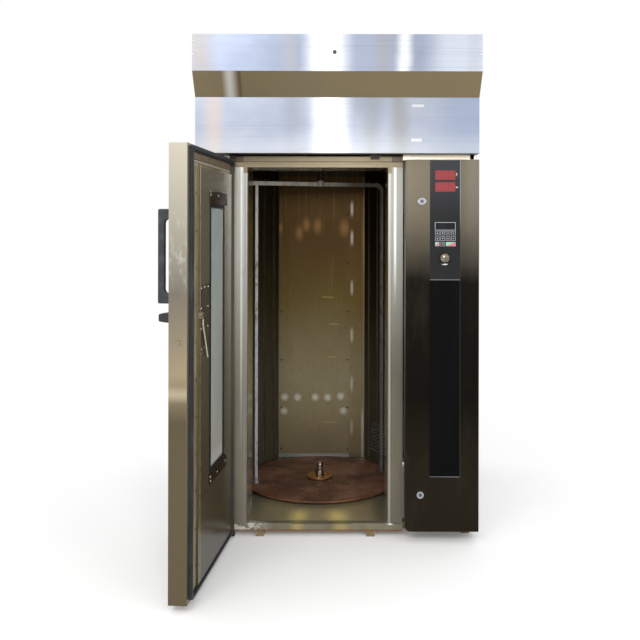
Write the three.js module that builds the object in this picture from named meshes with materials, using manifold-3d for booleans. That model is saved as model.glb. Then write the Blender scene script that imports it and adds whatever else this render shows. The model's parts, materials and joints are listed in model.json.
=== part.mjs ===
// Rotating rack oven: insulated cabinet with a tall side-hinged door (shown open), a revolving rack
// carrier, a canopy with exhaust, and a narrow control cabinet beside the door.
// Units mm, +Z up, the front faces -Y, +X is the right side seen from the front.
import * as THREE from 'three';
import { mergeVertices } from 'three/addons/utils/BufferGeometryUtils.js';
import Module from 'manifold-3d';

const wasm = await Module();
wasm.setup();

// ---- driving dimensions -------------------------------------------------------------------------
const BODY_W = 1350;
const BODY_D = 1250;
const SHEET = 2;
const GAP = 0.3;

const FOOT_H = 27;
const BASE_BAR = 30;
const SILL_Z = 65;
const SILL_LOW = 29;
const OPEN_W = 684;
const OPEN_X = -94;
const OPEN_TOP = 1794;
const HINGE_JAMB = 65;
const LATCH_JAMB = 72;
const HEAD_H = 53;
const FRAME_DEPTH = 40;

const AXIS_BACK = 688;
const DISC_R = 428;
const DISC_Z = 80;
const DISC_T = 5;
const DISC_BACK_CLEAR = 2;
const DISC_SIDE_CLEAR = 10;
const CHAMFER_IN = 160;
const CHAMFER_RISE = 316;
const SIDE_FRONT = -250;
const THROAT_DEPTH = 270;
const CEILING_RISE = 56;
const GATE_INSET = 60;
const GATE_TURN = 16;
const GATE_TUBE = 16;
const GATE_CLEAR = 34;

const DOOR_LAP_L = 59;
const DOOR_LAP_R = 47;
const DOOR_LAP_TOP = 36;
const DOOR_Z = 30;
const DOOR_T = 75;
const DOOR_STANDOFF = 12;
const DOOR_OPEN = 95.5;
const HINGE_R = 9;
const HINGE_PIN_R = 5;
const PLUG_RAISE = 11;
const WINDOW_FROM = 246;
const WINDOW_W = 230;
const WINDOW_Z = 478;
const WINDOW_DROP = 245;
const PLUG_IN_L = 75;
const PLUG_IN_R = 125;
const PLUG_IN_LOW = 28;
const PLUG_IN_TOP = 79;
const GASKET_IN = 24;
const GASKET_IN_Z = 6;
const GASKET_W = 20;
const GASKET_RISE = 15;
const LATCH_IN = 22;
const LATCH_Z = 1143;
const BOLT_Z = 1050;
const BOLT_AHEAD = 50;
const HANDLE_IN = 90;
const HANDLE_Z = 1196;
const HANDLE_L = 378;
const HANDLE_OUT = 68;
const HANDLE_T = 27;
const HANDLE_LEG = 40;
const LEVER_OUT = 80;
const LEVER_DROP = 9;
const LEVER_L = 150;

const PANEL_PROUD = 90;
const PANEL_CLEAR = 6;
const PANEL_DROP = 21;
const PANEL_Z0 = 58;
const PANEL_WALL = 3;
const COVER_T = 3.7;
const STRIP_IN = 115;
const STRIP_W = 142;
const STRIP_Z0 = 322;
const STRIP_DROP = 4;
const UPPER_STRIP_H = 567;
const DISPLAY_DROP = 48;
const DISPLAY_H = 45;
const DISPLAY_PITCH = 56;
const TEXT_H = 34;
const TEXT_CLEAR = 5.5;
const KEYS_IN = 24;
const KEYS_DROP = 335.5;
const KEY_W = 20.8;
const KEY_H = 20;
const KEY_PITCH = 25.5;
const KEY_ROW_PITCH = 26;
const DIAL_IN = 69;
const DIAL_DROP = 55.5;

const BAND_CLEAR = 7;
const BAND_H = 266;
const SLANT_H = 109;
const CANOPY_H = 171;
const CANOPY_PROUD = 178;

// ---- derived places -----------------------------------------------------------------------------
const HALF_W = BODY_W / 2;
const FRONT_Y = -BODY_D / 2;
const BACK_Y = BODY_D / 2;
const OPEN_L = OPEN_X - OPEN_W / 2;
const OPEN_R = OPEN_X + OPEN_W / 2;
const FRAME_L = OPEN_L - HINGE_JAMB;
const FRAME_R = OPEN_R + LATCH_JAMB;
const FRAME_TOP = OPEN_TOP + HEAD_H;
const COLUMN_TOP = FRAME_TOP + 3;
const BAND_Z0 = FRAME_TOP + BAND_CLEAR;
const BAND_Z1 = BAND_Z0 + BAND_H;
const CANOPY_Z0 = BAND_Z1 + SLANT_H;
const TOTAL_H = CANOPY_Z0 + CANOPY_H;
const AXIS_X = OPEN_X;
const AXIS_Y = FRONT_Y + AXIS_BACK;
const CHAMBER_BACK = DISC_R + DISC_BACK_CLEAR;
const CHAMBER_SIDE = DISC_R + DISC_SIDE_CLEAR;
const BACK_HALF = DISC_R - CHAMFER_IN;
const SIDE_REAR = DISC_R - CHAMFER_RISE;
const CEILING_Z = OPEN_TOP + CEILING_RISE;
const GATE_R = DISC_R - GATE_INSET;
const GATE_TOP = OPEN_TOP - GATE_CLEAR;
const DOOR_LEFT = OPEN_L - DOOR_LAP_L;
const DOOR_RIGHT = OPEN_R + DOOR_LAP_R;
const DOOR_TOP = OPEN_TOP + DOOR_LAP_TOP;
const HINGE_X = DOOR_LEFT - HINGE_R;
const HINGE_Y = FRONT_Y - DOOR_STANDOFF;
const PANEL_L = FRAME_R + PANEL_CLEAR;
const PANEL_Z1 = FRAME_TOP - PANEL_DROP;
const STRIP_L = PANEL_L + STRIP_IN;
const STRIP_R = STRIP_L + STRIP_W;
const STRIP_Z1 = PANEL_Z1 - STRIP_DROP;
const STRIP_SEAM = STRIP_Z1 - UPPER_STRIP_H;

// distance in front of the door frame face -> y
const ahead = (f) => FRONT_Y - f;

// ---- helpers ------------------------------------------------------------------------------------
const group = new THREE.Group();
const doorGroup = new THREE.Group();

const MATS = {
  steel: new THREE.MeshStandardMaterial({ color: 0xb9bab6, roughness: 0.35, metalness: 0.9 }),
  dull: new THREE.MeshStandardMaterial({ color: 0x9c9488, roughness: 0.5, metalness: 0.8 }),
  cover: new THREE.MeshStandardMaterial({ color: 0x5c5147, roughness: 0.45, metalness: 0.8 }),
  black: new THREE.MeshStandardMaterial({ color: 0x151515, roughness: 0.5, metalness: 0.1 }),
  char: new THREE.MeshStandardMaterial({ color: 0x232426, roughness: 0.5, metalness: 0.1 }),
  rubber: new THREE.MeshStandardMaterial({ color: 0x0d0d0d, roughness: 0.8, metalness: 0.0 }),
  glass: new THREE.MeshStandardMaterial({ color: 0xb9c2b4, roughness: 0.15, metalness: 0.0 }),
  rust: new THREE.MeshStandardMaterial({ color: 0x4a2c20, roughness: 0.8, metalness: 0.4 }),
  hub: new THREE.MeshStandardMaterial({ color: 0x8a5a34, roughness: 0.6, metalness: 0.6 }),
  chrome: new THREE.MeshStandardMaterial({ color: 0xc9cbcc, roughness: 0.2, metalness: 1.0 }),
  red: new THREE.MeshStandardMaterial({ color: 0x8c1512, roughness: 0.3, metalness: 0.0 }),
  lcd: new THREE.MeshStandardMaterial({ color: 0xa9aca6, roughness: 0.4, metalness: 0.0 }),
  key: new THREE.MeshStandardMaterial({ color: 0x8d8f90, roughness: 0.5, metalness: 0.0 }),
  motor: new THREE.MeshStandardMaterial({ color: 0x3c5064, roughness: 0.55, metalness: 0.3 }),
  galv: new THREE.MeshStandardMaterial({ color: 0x8f9496, roughness: 0.5, metalness: 0.8 }),
};

function toSolid(geometry) {
  const g = geometry.clone();
  g.deleteAttribute('normal');
  g.deleteAttribute('uv');
  const m = mergeVertices(g, 1e-4);
  const mesh = new wasm.Mesh({
    numProp: 3,
    vertProperties: new Float32Array(m.attributes.position.array),
    triVerts: new Uint32Array(m.index.array),
  });
  return new wasm.Manifold(mesh);
}

function toGeometry(solid) {
  const mesh = solid.getMesh();
  const g = new THREE.BufferGeometry();
  g.setAttribute('position', new THREE.BufferAttribute(new Float32Array(mesh.vertProperties), 3));
  g.setIndex(new THREE.BufferAttribute(new Uint32Array(mesh.triVerts), 1));
  g.computeVertexNormals();
  return g;
}

function add(name, solid, material, parent = group) {
  const mesh = new THREE.Mesh(toGeometry(solid), MATS[material]);
  mesh.name = name;
  parent.add(mesh);
}

function box(x0, x1, ya, yb, z0, z1) {
  const y0 = Math.min(ya, yb);
  const y1 = Math.max(ya, yb);
  const g = new THREE.BoxGeometry(x1 - x0, y1 - y0, z1 - z0);
  g.translate((x0 + x1) / 2, (y0 + y1) / 2, (z0 + z1) / 2);
  return toSolid(g);
}

function cylZ(x, y, z0, z1, r, seg = 32, rTop = r) {
  const g = new THREE.CylinderGeometry(rTop, r, z1 - z0, seg);
  g.rotateX(Math.PI / 2);
  g.translate(x, y, (z0 + z1) / 2);
  return toSolid(g);
}

function cylY(x, ya, yb, z, r, seg = 32, rAtB = r) {
  const g = new THREE.CylinderGeometry(yb > ya ? rAtB : r, yb > ya ? r : rAtB, Math.abs(yb - ya), seg);
  g.translate(x, (ya + yb) / 2, z);
  return toSolid(g);
}

function cylX(x0, x1, y, z, r, seg = 32) {
  const g = new THREE.CylinderGeometry(r, r, x1 - x0, seg);
  g.rotateZ(Math.PI / 2);
  g.translate((x0 + x1) / 2, y, z);
  return toSolid(g);
}

function rod(a, b, r, seg = 14) {
  const from = new THREE.Vector3(...a);
  const to = new THREE.Vector3(...b);
  const g = new THREE.CylinderGeometry(r, r, from.distanceTo(to), seg);
  const turn = new THREE.Quaternion();
  turn.setFromUnitVectors(new THREE.Vector3(0, 1, 0), to.clone().sub(from).normalize());
  g.applyQuaternion(turn);
  g.translate((from.x + to.x) / 2, (from.y + to.y) / 2, (from.z + to.z) / 2);
  return toSolid(g);
}

function shapeOf(points) {
  const shape = new THREE.Shape();
  points.forEach(([a, b], i) => (i ? shape.lineTo(a, b) : shape.moveTo(a, b)));
  shape.closePath();
  return shape;
}

// outline in plan, standing from z0 to z1
function prismZ(points, z0, z1) {
  const g = new THREE.ExtrudeGeometry(shapeOf(points), { depth: z1 - z0, bevelEnabled: false });
  g.translate(0, 0, z0);
  return toSolid(g);
}

// points of an arc from one angle to the other, in degrees
function arcPoints(a, b, r, from, to, count) {
  const points = [];
  for (let i = 0; i <= count; i += 1) {
    const angle = THREE.MathUtils.degToRad(from + ((to - from) * i) / count);
    points.push([a + r * Math.cos(angle), b + r * Math.sin(angle)]);
  }
  return points;
}

// outline in (y, z), running from x0 to x1, its end edges rounded by edge
function prismX(points, x0, x1, edge = 0) {
  const g = new THREE.ExtrudeGeometry(shapeOf(points), {
    depth: x1 - x0 - 2 * edge,
    bevelEnabled: edge > 0,
    bevelThickness: edge,
    bevelSize: edge,
    bevelOffset: -edge,
    bevelSegments: 3,
  });
  g.translate(0, 0, edge);
  const basis = new THREE.Matrix4();
  basis.makeBasis(new THREE.Vector3(0, 1, 0), new THREE.Vector3(0, 0, 1), new THREE.Vector3(1, 0, 0));
  g.applyMatrix4(basis);
  g.translate(x0, 0, 0);
  return toSolid(g);
}

// rectangle seen from the front with its own corner radii, thick from yBack forward by depth
function plateY(x0, x1, z0, z1, yBack, depth, r = 0, rLowLeft = r, bevel = 0) {
  const s = new THREE.Shape();
  const b = bevel;
  s.moveTo(x0 + b + rLowLeft, z0 + b);
  s.lineTo(x1 - b - r, z0 + b);
  if (r > 0) s.absarc(x1 - b - r, z0 + b + r, r, -Math.PI / 2, 0, false);
  s.lineTo(x1 - b, z1 - b - r);
  if (r > 0) s.absarc(x1 - b - r, z1 - b - r, r, 0, Math.PI / 2, false);
  s.lineTo(x0 + b + r, z1 - b);
  if (r > 0) s.absarc(x0 + b + r, z1 - b - r, r, Math.PI / 2, Math.PI, false);
  s.lineTo(x0 + b, z0 + b + rLowLeft);
  if (rLowLeft > 0) s.absarc(x0 + b + rLowLeft, z0 + b + rLowLeft, rLowLeft, Math.PI, 1.5 * Math.PI, false);
  const g = new THREE.ExtrudeGeometry(s, {
    depth: depth - 2 * b,
    bevelEnabled: b > 0,
    bevelThickness: b,
    bevelSize: b,
    bevelSegments: 1,
    curveSegments: 5,
  });
  g.rotateX(Math.PI / 2);
  g.translate(0, yBack - b, 0);
  return toSolid(g);
}

// points moved outwards by t along the open polyline of the chamber wall
function offsetLine(points, t) {
  const normals = [];
  for (let i = 0; i < points.length - 1; i += 1) {
    const dx = points[i + 1][0] - points[i][0];
    const dy = points[i + 1][1] - points[i][1];
    const len = Math.hypot(dx, dy);
    normals.push([-dy / len, dx / len]);
  }
  return points.map(([x, y], i) => {
    const a = normals[Math.max(i - 1, 0)];
    const b = normals[Math.min(i, normals.length - 1)];
    const k = t / (1 + a[0] * b[0] + a[1] * b[1]);
    return [x + (a[0] + b[0]) * k, y + (a[1] + b[1]) * k];
  });
}

// ---- base and floor -----------------------------------------------------------------------------
const innerX = HALF_W - SHEET - GAP;
const baseY0 = FRONT_Y + FRAME_DEPTH + GAP;
const baseY1 = BACK_Y - SHEET - GAP;
const BAR_W = 60;
const baseTop = FOOT_H + BASE_BAR;
let base = box(-innerX, innerX, baseY0, baseY1, FOOT_H, baseTop);
base = base.subtract(box(-innerX + BAR_W, AXIS_X - BAR_W, baseY0 + BAR_W, baseY1 - BAR_W, 0, 99));
base = base.subtract(box(AXIS_X + BAR_W, innerX - BAR_W, baseY0 + BAR_W, baseY1 - BAR_W, 0, 99));
const FOOT_W = 40;
const footSpots = [
  [OPEN_L + 64, FRONT_Y + 5 + FOOT_W / 2],
  [OPEN_R - 82, FRONT_Y + 5 + FOOT_W / 2],
  [-innerX + 40, baseY0 + 30],
  [innerX - 40, baseY0 + 30],
  [-innerX + 40, baseY1 - 30],
  [innerX - 40, baseY1 - 30],
];
for (const [fx, fy] of footSpots) {
  const footBack = Math.max(fy + FOOT_W / 2, baseY0 + 20);
  base = base.add(box(fx - FOOT_W / 2, fx + FOOT_W / 2, fy - FOOT_W / 2, footBack, 0, FOOT_H + GAP));
}
base = base.add(box(AXIS_X + 24, FOOT_W / 2, -FOOT_W / 2, FOOT_W / 2, 0, FOOT_H + GAP));
add('base_frame', base, 'galv');

const sillProfile = [
  [FRONT_Y, SILL_LOW],
  [FRONT_Y + FRAME_DEPTH, SILL_LOW],
  [FRONT_Y + FRAME_DEPTH, SILL_Z],
  [FRONT_Y + 4, SILL_Z],
  [FRONT_Y, SILL_Z - 4],
];
add('door_sill', prismX(sillProfile, FRAME_L, FRAME_R), 'dull');

const chamberInner = [
  [-OPEN_W / 2, THROAT_DEPTH - AXIS_BACK],
  [-CHAMBER_SIDE, SIDE_FRONT],
  [-CHAMBER_SIDE, SIDE_REAR],
  [-BACK_HALF, CHAMBER_BACK],
  [BACK_HALF, CHAMBER_BACK],
  [CHAMBER_SIDE, SIDE_REAR],
  [CHAMBER_SIDE, SIDE_FRONT],
  [OPEN_W / 2, THROAT_DEPTH - AXIS_BACK],
].map(([x, y]) => [x + AXIS_X, y + AXIS_Y]);
const chamberOuter = offsetLine(chamberInner, SHEET);
const floorTop = SILL_Z - 1;
const floorLow = baseTop + GAP;
const floorOutline = [
  [OPEN_R, baseY0],
  ...[...chamberOuter].reverse(),
  [OPEN_L, baseY0],
];
const BEARING_R = 42;
const PIN_SPIGOT_R = 15;
let floor = prismZ(floorOutline, floorLow, floorTop);
floor = floor.add(cylZ(AXIS_X, AXIS_Y, floorTop - 1, DISC_Z - GAP, BEARING_R, 40));
floor = floor.subtract(cylZ(AXIS_X, AXIS_Y, floorLow - 1, DISC_Z + 1, PIN_SPIGOT_R + GAP, 32));
add('floor_pan', floor, 'dull');

// ---- chamber ------------------------------------------------------------------------------------
const wallLow = floorTop + GAP;
let chamber = prismZ([...chamberInner, ...[...chamberOuter].reverse()], wallLow, CEILING_Z + 1);
chamber = chamber.add(prismZ([...chamberOuter].reverse(), CEILING_Z, CEILING_Z + SHEET));
const SHAFT_R = 11;
chamber = chamber.subtract(cylZ(AXIS_X, AXIS_Y, CEILING_Z - 5, CEILING_Z + 9, SHAFT_R + 6, 32));

// a flat board lying along one chamfer of the chamber: s along the wall, n into the chamber
function chamferBoard(side, s0, s1, n0, n1, z0, z1) {
  const x0 = side * CHAMBER_SIDE + AXIS_X;
  const y0 = SIDE_REAR + AXIS_Y;
  const x1 = side * BACK_HALF + AXIS_X;
  const y1 = CHAMBER_BACK + AXIS_Y;
  const len = Math.hypot(x1 - x0, y1 - y0);
  const ux = (x1 - x0) / len;
  const uy = (y1 - y0) / len;
  const nx = side < 0 ? uy : -uy;
  const ny = side < 0 ? -ux : ux;
  const at = (s, n) => [x0 + ux * s + nx * n, y0 + uy * s + ny * n];
  const pts = [at(s0, n0), at(s1, n0), at(s1, n1), at(s0, n1)];
  return prismZ(side < 0 ? [...pts].reverse() : pts, z0, z1);
}
const CHAMFER_LEN = Math.hypot(CHAMBER_SIDE - BACK_HALF, CHAMBER_BACK - SIDE_REAR);
const AIR_Z0 = 140;
const AIR_Z1 = CEILING_Z - 110;
for (const side of [-1, 1]) {
  chamber = chamber.subtract(chamferBoard(side, 60, CHAMFER_LEN - 60, -6, 6, AIR_Z0, AIR_Z1));
}
const EXHAUST_X = -300;
const EXHAUST_Y = 300;
const EXHAUST_R = 108;
chamber = chamber.subtract(cylZ(EXHAUST_X, EXHAUST_Y, CEILING_Z - 5, CEILING_Z + 9, 70, 32));
add('chamber_liner', chamber, 'dull');

const LOUVER_T = 2.5;
const SLAT_PITCH = 100;
const AIR_GAP = 8;
function airBoard(side, slots) {
  let board = chamferBoard(side, 16, CHAMFER_LEN - 16, GAP, GAP + LOUVER_T, wallLow + 26, CEILING_Z - 50);
  for (const [s0, s1, z0, z1] of slots) {
    board = board.subtract(chamferBoard(side, s0, s1, -1, 8, z0, z1));
  }
  return board;
}
// upright gaps between the slats on the supply side, level slots low down on the return side
const supplyGaps = [];
const GAP_ROWS = 3;
const gapRise = (AIR_Z1 - AIR_Z0) / GAP_ROWS;
for (let c = 1; c <= 3; c += 1) {
  for (let r = 0; r < GAP_ROWS; r += 1) {
    const s1 = c * SLAT_PITCH - 3;
    supplyGaps.push([s1 - AIR_GAP, s1, AIR_Z0 + r * gapRise + 12, AIR_Z0 + (r + 1) * gapRise - 12]);
  }
}
const returnSlots = [];
for (let r = 0; r < 9; r += 1) {
  const z0 = AIR_Z0 + 10 + r * 20;
  returnSlots.push([75, CHAMFER_LEN - 75, z0, z0 + AIR_GAP]);
}
add('supply_louver_panel', airBoard(-1, supplyGaps), 'dull');
add('return_grille_panel', airBoard(1, returnSlots), 'dull');

const BACK_SKIN = 1.5;
const backSkinY1 = AXIS_Y + CHAMBER_BACK - GAP;
const backSkinY0 = backSkinY1 - BACK_SKIN;
const BACK_SPLIT = 78;
const skinLow = wallLow + 14;
const skinTop = CEILING_Z - 30;
const panelL = AXIS_X - BACK_HALF + 4;
add('back_wall_panel', box(panelL, BACK_SPLIT, backSkinY0, backSkinY1, skinLow, skinTop), 'dull');
const stripR = AXIS_X + BACK_HALF - 4;
add('back_wall_strip', box(BACK_SPLIT + 2 * GAP, stripR, backSkinY0, backSkinY1, skinLow, skinTop), 'dull');

const throatY0 = FRONT_Y + FRAME_DEPTH + GAP;
const throatY1 = Math.min(...chamberOuter.map(([, y]) => y)) - GAP;
const throatTop = OPEN_TOP + 2;
let throat = box(OPEN_L - SHEET, OPEN_L, throatY0, throatY1, wallLow, throatTop + SHEET);
throat = throat.add(box(OPEN_R, OPEN_R + SHEET, throatY0, throatY1, wallLow, throatTop + SHEET));
throat = throat.add(box(OPEN_L - SHEET, OPEN_R + SHEET, throatY0, throatY1, throatTop, throatTop + SHEET));
const throatBack = throatY1 - SHEET;
throat = throat.add(box(OPEN_L - SHEET, OPEN_R + SHEET, throatBack, throatY1, throatTop, CEILING_Z - GAP));
add('throat_liner', throat, 'steel');

// ---- door frame: two stepped jambs joined by a stepped head ---------------------------------------
const frameBack = FRONT_Y + FRAME_DEPTH;
const frameLow = SILL_Z + GAP;
// [from, to, proud] measured outwards from the opening edge
const JAMB_STEPS = [
  [0, 4, 1],
  [4, 18, -3],
  [18, 35, 3],
];
let frame = box(FRAME_L, OPEN_L - 35, ahead(0), frameBack, frameLow, FRAME_TOP);
frame = frame.add(box(OPEN_R + 35, FRAME_R, ahead(0), frameBack, frameLow, FRAME_TOP));
for (const [a, b, proud] of JAMB_STEPS) {
  frame = frame.add(box(OPEN_L - b, OPEN_L - a, ahead(proud), frameBack, frameLow, OPEN_TOP + b));
  frame = frame.add(box(OPEN_R + a, OPEN_R + b, ahead(proud), frameBack, frameLow, OPEN_TOP + b));
  frame = frame.add(box(OPEN_L - b, OPEN_R + b, ahead(proud), frameBack, OPEN_TOP + a, OPEN_TOP + b));
}
frame = frame.add(box(FRAME_L, FRAME_R, ahead(0), frameBack, OPEN_TOP + 35, FRAME_TOP));
// filler that carries on the head above the control cabinet, with a slot near its end
const fillerR = HALF_W - SHEET - GAP;
const fillerTop = BAND_Z0 + 6;
frame = frame.add(box(FRAME_R - 1, fillerR, ahead(0), frameBack, OPEN_TOP + 35, FRAME_TOP));
frame = frame.add(box(FRAME_R + 1, fillerR, ahead(0), frameBack, FRAME_TOP - 1, fillerTop));
const fillerSlot = box(fillerR - 27, fillerR - 8, ahead(9), frameBack + 9, FRAME_TOP - 13, fillerTop + 9);
frame = frame.subtract(fillerSlot);
add('door_frame', frame, 'steel');

const SWITCH_X = OPEN_R - 64;
const switchLow = FRAME_TOP - 16;
let doorSwitch = box(SWITCH_X - 24, SWITCH_X + 24, ahead(GAP), ahead(12), switchLow, switchLow + 21);
const switchMouth = box(SWITCH_X - 16, SWITCH_X + 16, ahead(7), ahead(20), switchLow + 5, switchLow + 16);
doorSwitch = doorSwitch.subtract(switchMouth);
add('door_switch', doorSwitch, 'dull');

const colR = FRAME_L - GAP;
const columnOutline = [
  [-HALF_W, FRONT_Y],
  [colR, FRONT_Y],
  [colR, frameBack],
  [colR - SHEET, frameBack],
  [colR - SHEET, FRONT_Y + SHEET],
  [-HALF_W + SHEET, FRONT_Y + SHEET],
  [-HALF_W + SHEET, frameBack],
  [-HALF_W, frameBack],
];
add('left_column', prismZ(columnOutline, SILL_LOW, COLUMN_TOP - GAP), 'steel');

// ---- outer skins --------------------------------------------------------------------------------
const skinTopZ = TOTAL_H - SHEET - GAP;
const sideLow = FOOT_H;
const leftSkin = [
  [baseY0, sideLow],
  [baseY1, sideLow],
  [baseY1, skinTopZ],
  [FRONT_Y + GAP, skinTopZ],
  [FRONT_Y + GAP, COLUMN_TOP],
  [baseY0, COLUMN_TOP],
];
add('left_side_panel', prismX(leftSkin, -HALF_W, -HALF_W + SHEET), 'galv');
let rightSkin = box(HALF_W - SHEET, HALF_W, FRONT_Y + GAP, baseY1, sideLow, skinTopZ);
const VENT_SLOTS = 9;
for (let i = 0; i < VENT_SLOTS; i += 1) {
  const z = BAND_Z1 - 140 + i * 22;
  rightSkin = rightSkin.subtract(box(HALF_W - 9, HALF_W + 9, 150, 420, z, z + 8));
}
add('right_side_panel', rightSkin, 'galv');
add('rear_panel', box(-HALF_W, HALF_W, BACK_Y - SHEET, BACK_Y, sideLow, skinTopZ), 'galv');

const COLLAR_H = 45;
let roof = box(-HALF_W, HALF_W, FRONT_Y + GAP, BACK_Y, TOTAL_H - SHEET, TOTAL_H);
roof = roof.add(cylZ(EXHAUST_X, EXHAUST_Y, TOTAL_H - 1, TOTAL_H + COLLAR_H, EXHAUST_R + 1.5, 36));
roof = roof.subtract(cylZ(EXHAUST_X, EXHAUST_Y, TOTAL_H - 9, TOTAL_H + COLLAR_H + 9, EXHAUST_R, 36));
const DAMPER_Z = TOTAL_H + 25;
roof = roof.subtract(cylX(EXHAUST_X - 130, EXHAUST_X + 130, EXHAUST_Y, DAMPER_Z, 5, 20));
add('roof_panel', roof, 'galv');

let damper = cylZ(EXHAUST_X, EXHAUST_Y, DAMPER_Z - 1, DAMPER_Z + 1, EXHAUST_R - 4, 36);
damper = damper.add(cylX(EXHAUST_X - 118, EXHAUST_X + 130, EXHAUST_Y, DAMPER_Z, 4, 18));
const crankX = EXHAUST_X + 122;
damper = damper.add(box(crankX, crankX + 6, EXHAUST_Y - 6, EXHAUST_Y + 46, DAMPER_Z - 6, DAMPER_Z + 6));
add('exhaust_damper', damper, 'galv');

// ---- hood: lower band and canopy ------------------------------------------------------------------
const bandTop = BAND_Z1 - GAP;
let band = box(-HALF_W, HALF_W, ahead(PANEL_PROUD - SHEET), ahead(PANEL_PROUD), BAND_Z0, bandTop);
band = band.add(box(-HALF_W, HALF_W, ahead(GAP), ahead(PANEL_PROUD), BAND_Z0, BAND_Z0 + SHEET));
for (const s of [-1, 1]) {
  const a = s < 0 ? -HALF_W : HALF_W - SHEET;
  band = band.add(box(a, a + SHEET, ahead(GAP), ahead(PANEL_PROUD), BAND_Z0, bandTop));
}
add('hood_lower_band', band, 'steel');

const canopyOuter = [
  [ahead(GAP), BAND_Z1],
  [ahead(GAP), TOTAL_H],
  [ahead(CANOPY_PROUD), TOTAL_H],
  [ahead(CANOPY_PROUD), CANOPY_Z0],
  [ahead(PANEL_PROUD), BAND_Z1],
];
const slope = Math.hypot(CANOPY_PROUD - PANEL_PROUD, CANOPY_Z0 - BAND_Z1) / (CANOPY_Z0 - BAND_Z1);
const canopyInner = [
  [ahead(-20), BAND_Z1 - 20],
  [ahead(-20), TOTAL_H - SHEET],
  [ahead(CANOPY_PROUD - SHEET), TOTAL_H - SHEET],
  [ahead(CANOPY_PROUD - SHEET), CANOPY_Z0 + 1],
  [ahead(PANEL_PROUD - SHEET * slope), BAND_Z1],
  [ahead(PANEL_PROUD - SHEET * slope), BAND_Z1 - 20],
];
let canopy = prismX([...canopyOuter].reverse(), -HALF_W, HALF_W);
canopy = canopy.subtract(prismX([...canopyInner].reverse(), -HALF_W + SHEET, HALF_W - SHEET));
add('canopy_hood', canopy, 'steel');

// ---- control cabinet ------------------------------------------------------------------------------
const LOW_CORNER = 22;
const bodyFront = PANEL_PROUD - COVER_T - GAP;
let cabinet = plateY(PANEL_L, HALF_W, PANEL_Z0, PANEL_Z1, ahead(GAP), bodyFront - GAP, 0, LOW_CORNER);
const cabIn = PANEL_L + PANEL_WALL;
cabinet = cabinet.subtract(plateY(
  cabIn,
  HALF_W - PANEL_WALL,
  PANEL_Z0 + PANEL_WALL,
  PANEL_Z1 - PANEL_WALL,
  ahead(GAP + PANEL_WALL),
  PANEL_PROUD,
  0,
  LOW_CORNER - PANEL_WALL,
));
const SLOT_H = 86;
const slotNear = ahead(BOLT_AHEAD - 14);
const slotFar = ahead(BOLT_AHEAD + 16);
const slotLow = BOLT_Z - SLOT_H / 2;
cabinet = cabinet.subtract(box(PANEL_L - 5, cabIn + 5, slotNear, slotFar, slotLow, slotLow + SLOT_H));
const lockSpots = [
  ['cam_lock_upper', PANEL_L + 77, PANEL_Z1 - 198.5],
  ['cam_lock_lower', PANEL_L + 71, PANEL_Z0 + 175.5],
];
const strikeFront = bodyFront - 10;
const strikeBack = strikeFront - 3;
for (const [, , lz] of lockSpots) {
  cabinet = cabinet.add(box(cabIn - 1, cabIn + 18, ahead(strikeBack), ahead(strikeFront), lz - 20, lz + 20));
}
add('control_cabinet', cabinet, 'cover');

const coverBack = ahead(PANEL_PROUD - COVER_T);
let cover = plateY(PANEL_L, HALF_W, PANEL_Z0, PANEL_Z1, coverBack, COVER_T, 1.5, LOW_CORNER, 1.5);
const LOCK_R = 8;
for (const [, lx, lz] of lockSpots) {
  cover = cover.subtract(cylY(lx, coverBack + 5, coverBack - 9, lz, LOCK_R, 28));
}
const SWITCH_R = 22;
const DIAL_X = STRIP_L + DIAL_IN;
const KEY_LEFT = STRIP_L + KEYS_IN;
const KEY_TOP = STRIP_Z1 - KEYS_DROP;
const DIAL_Z = KEY_TOP - 2 * KEY_ROW_PITCH - KEY_H - DIAL_DROP;
const stripFace = ahead(PANEL_PROUD + GAP);
const STRIP_T = 1.2;
const stripOut = stripFace - STRIP_T;
cover = cover.subtract(cylY(DIAL_X, coverBack + 5, coverBack - 9, DIAL_Z, 9, 28));
add('control_cover', cover, 'cover');

const CAM_CLEAR = 8;
const camBack = strikeFront - 12;
for (const [name, lx, lz] of lockSpots) {
  const headY = ahead(PANEL_PROUD + GAP);
  const camReach = lx - cabIn - CAM_CLEAR;
  let lock = cylY(lx, headY, headY - 5, lz, 16.5, 36);
  if (name.endsWith('upper')) {
    lock = cylY(lx, headY, headY - 5, lz - 5, 21, 36).intersect(cylY(lx, headY, headY - 5, lz + 5, 21, 36));
  }
  lock = lock.add(cylY(lx, headY - 1, ahead(camBack), lz, LOCK_R - GAP, 28));
  lock = lock.add(box(lx - 9, lx + 9, ahead(camBack), ahead(camBack + 4), lz - 12, lz + camReach));
  lock = lock.subtract(box(lx - 2, lx + 2, headY - 3, headY - 9, lz - 11, lz + 11));
  add(name, lock, 'dull');
}

const seamHalf = 0.5;
let stripUp = plateY(STRIP_L, STRIP_R, STRIP_SEAM + seamHalf, STRIP_Z1, stripFace, STRIP_T);
stripUp = stripUp.subtract(cylY(DIAL_X, stripFace + 5, stripFace - 9, DIAL_Z, 9, 28));
let bezel = cylY(DIAL_X, stripFace - STRIP_T / 2, stripOut - 5, DIAL_Z, 33, 48);
bezel = bezel.subtract(cylY(DIAL_X, stripFace + 5, stripOut - 9, DIAL_Z, SWITCH_R + 1.5, 40));
stripUp = stripUp.add(bezel);
add('panel_strip_upper', stripUp, 'char');
const stripLow = plateY(STRIP_L, STRIP_R, STRIP_Z0, STRIP_SEAM - seamHalf, stripFace, STRIP_T);
add('panel_strip_lower', stripLow, 'black');

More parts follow.
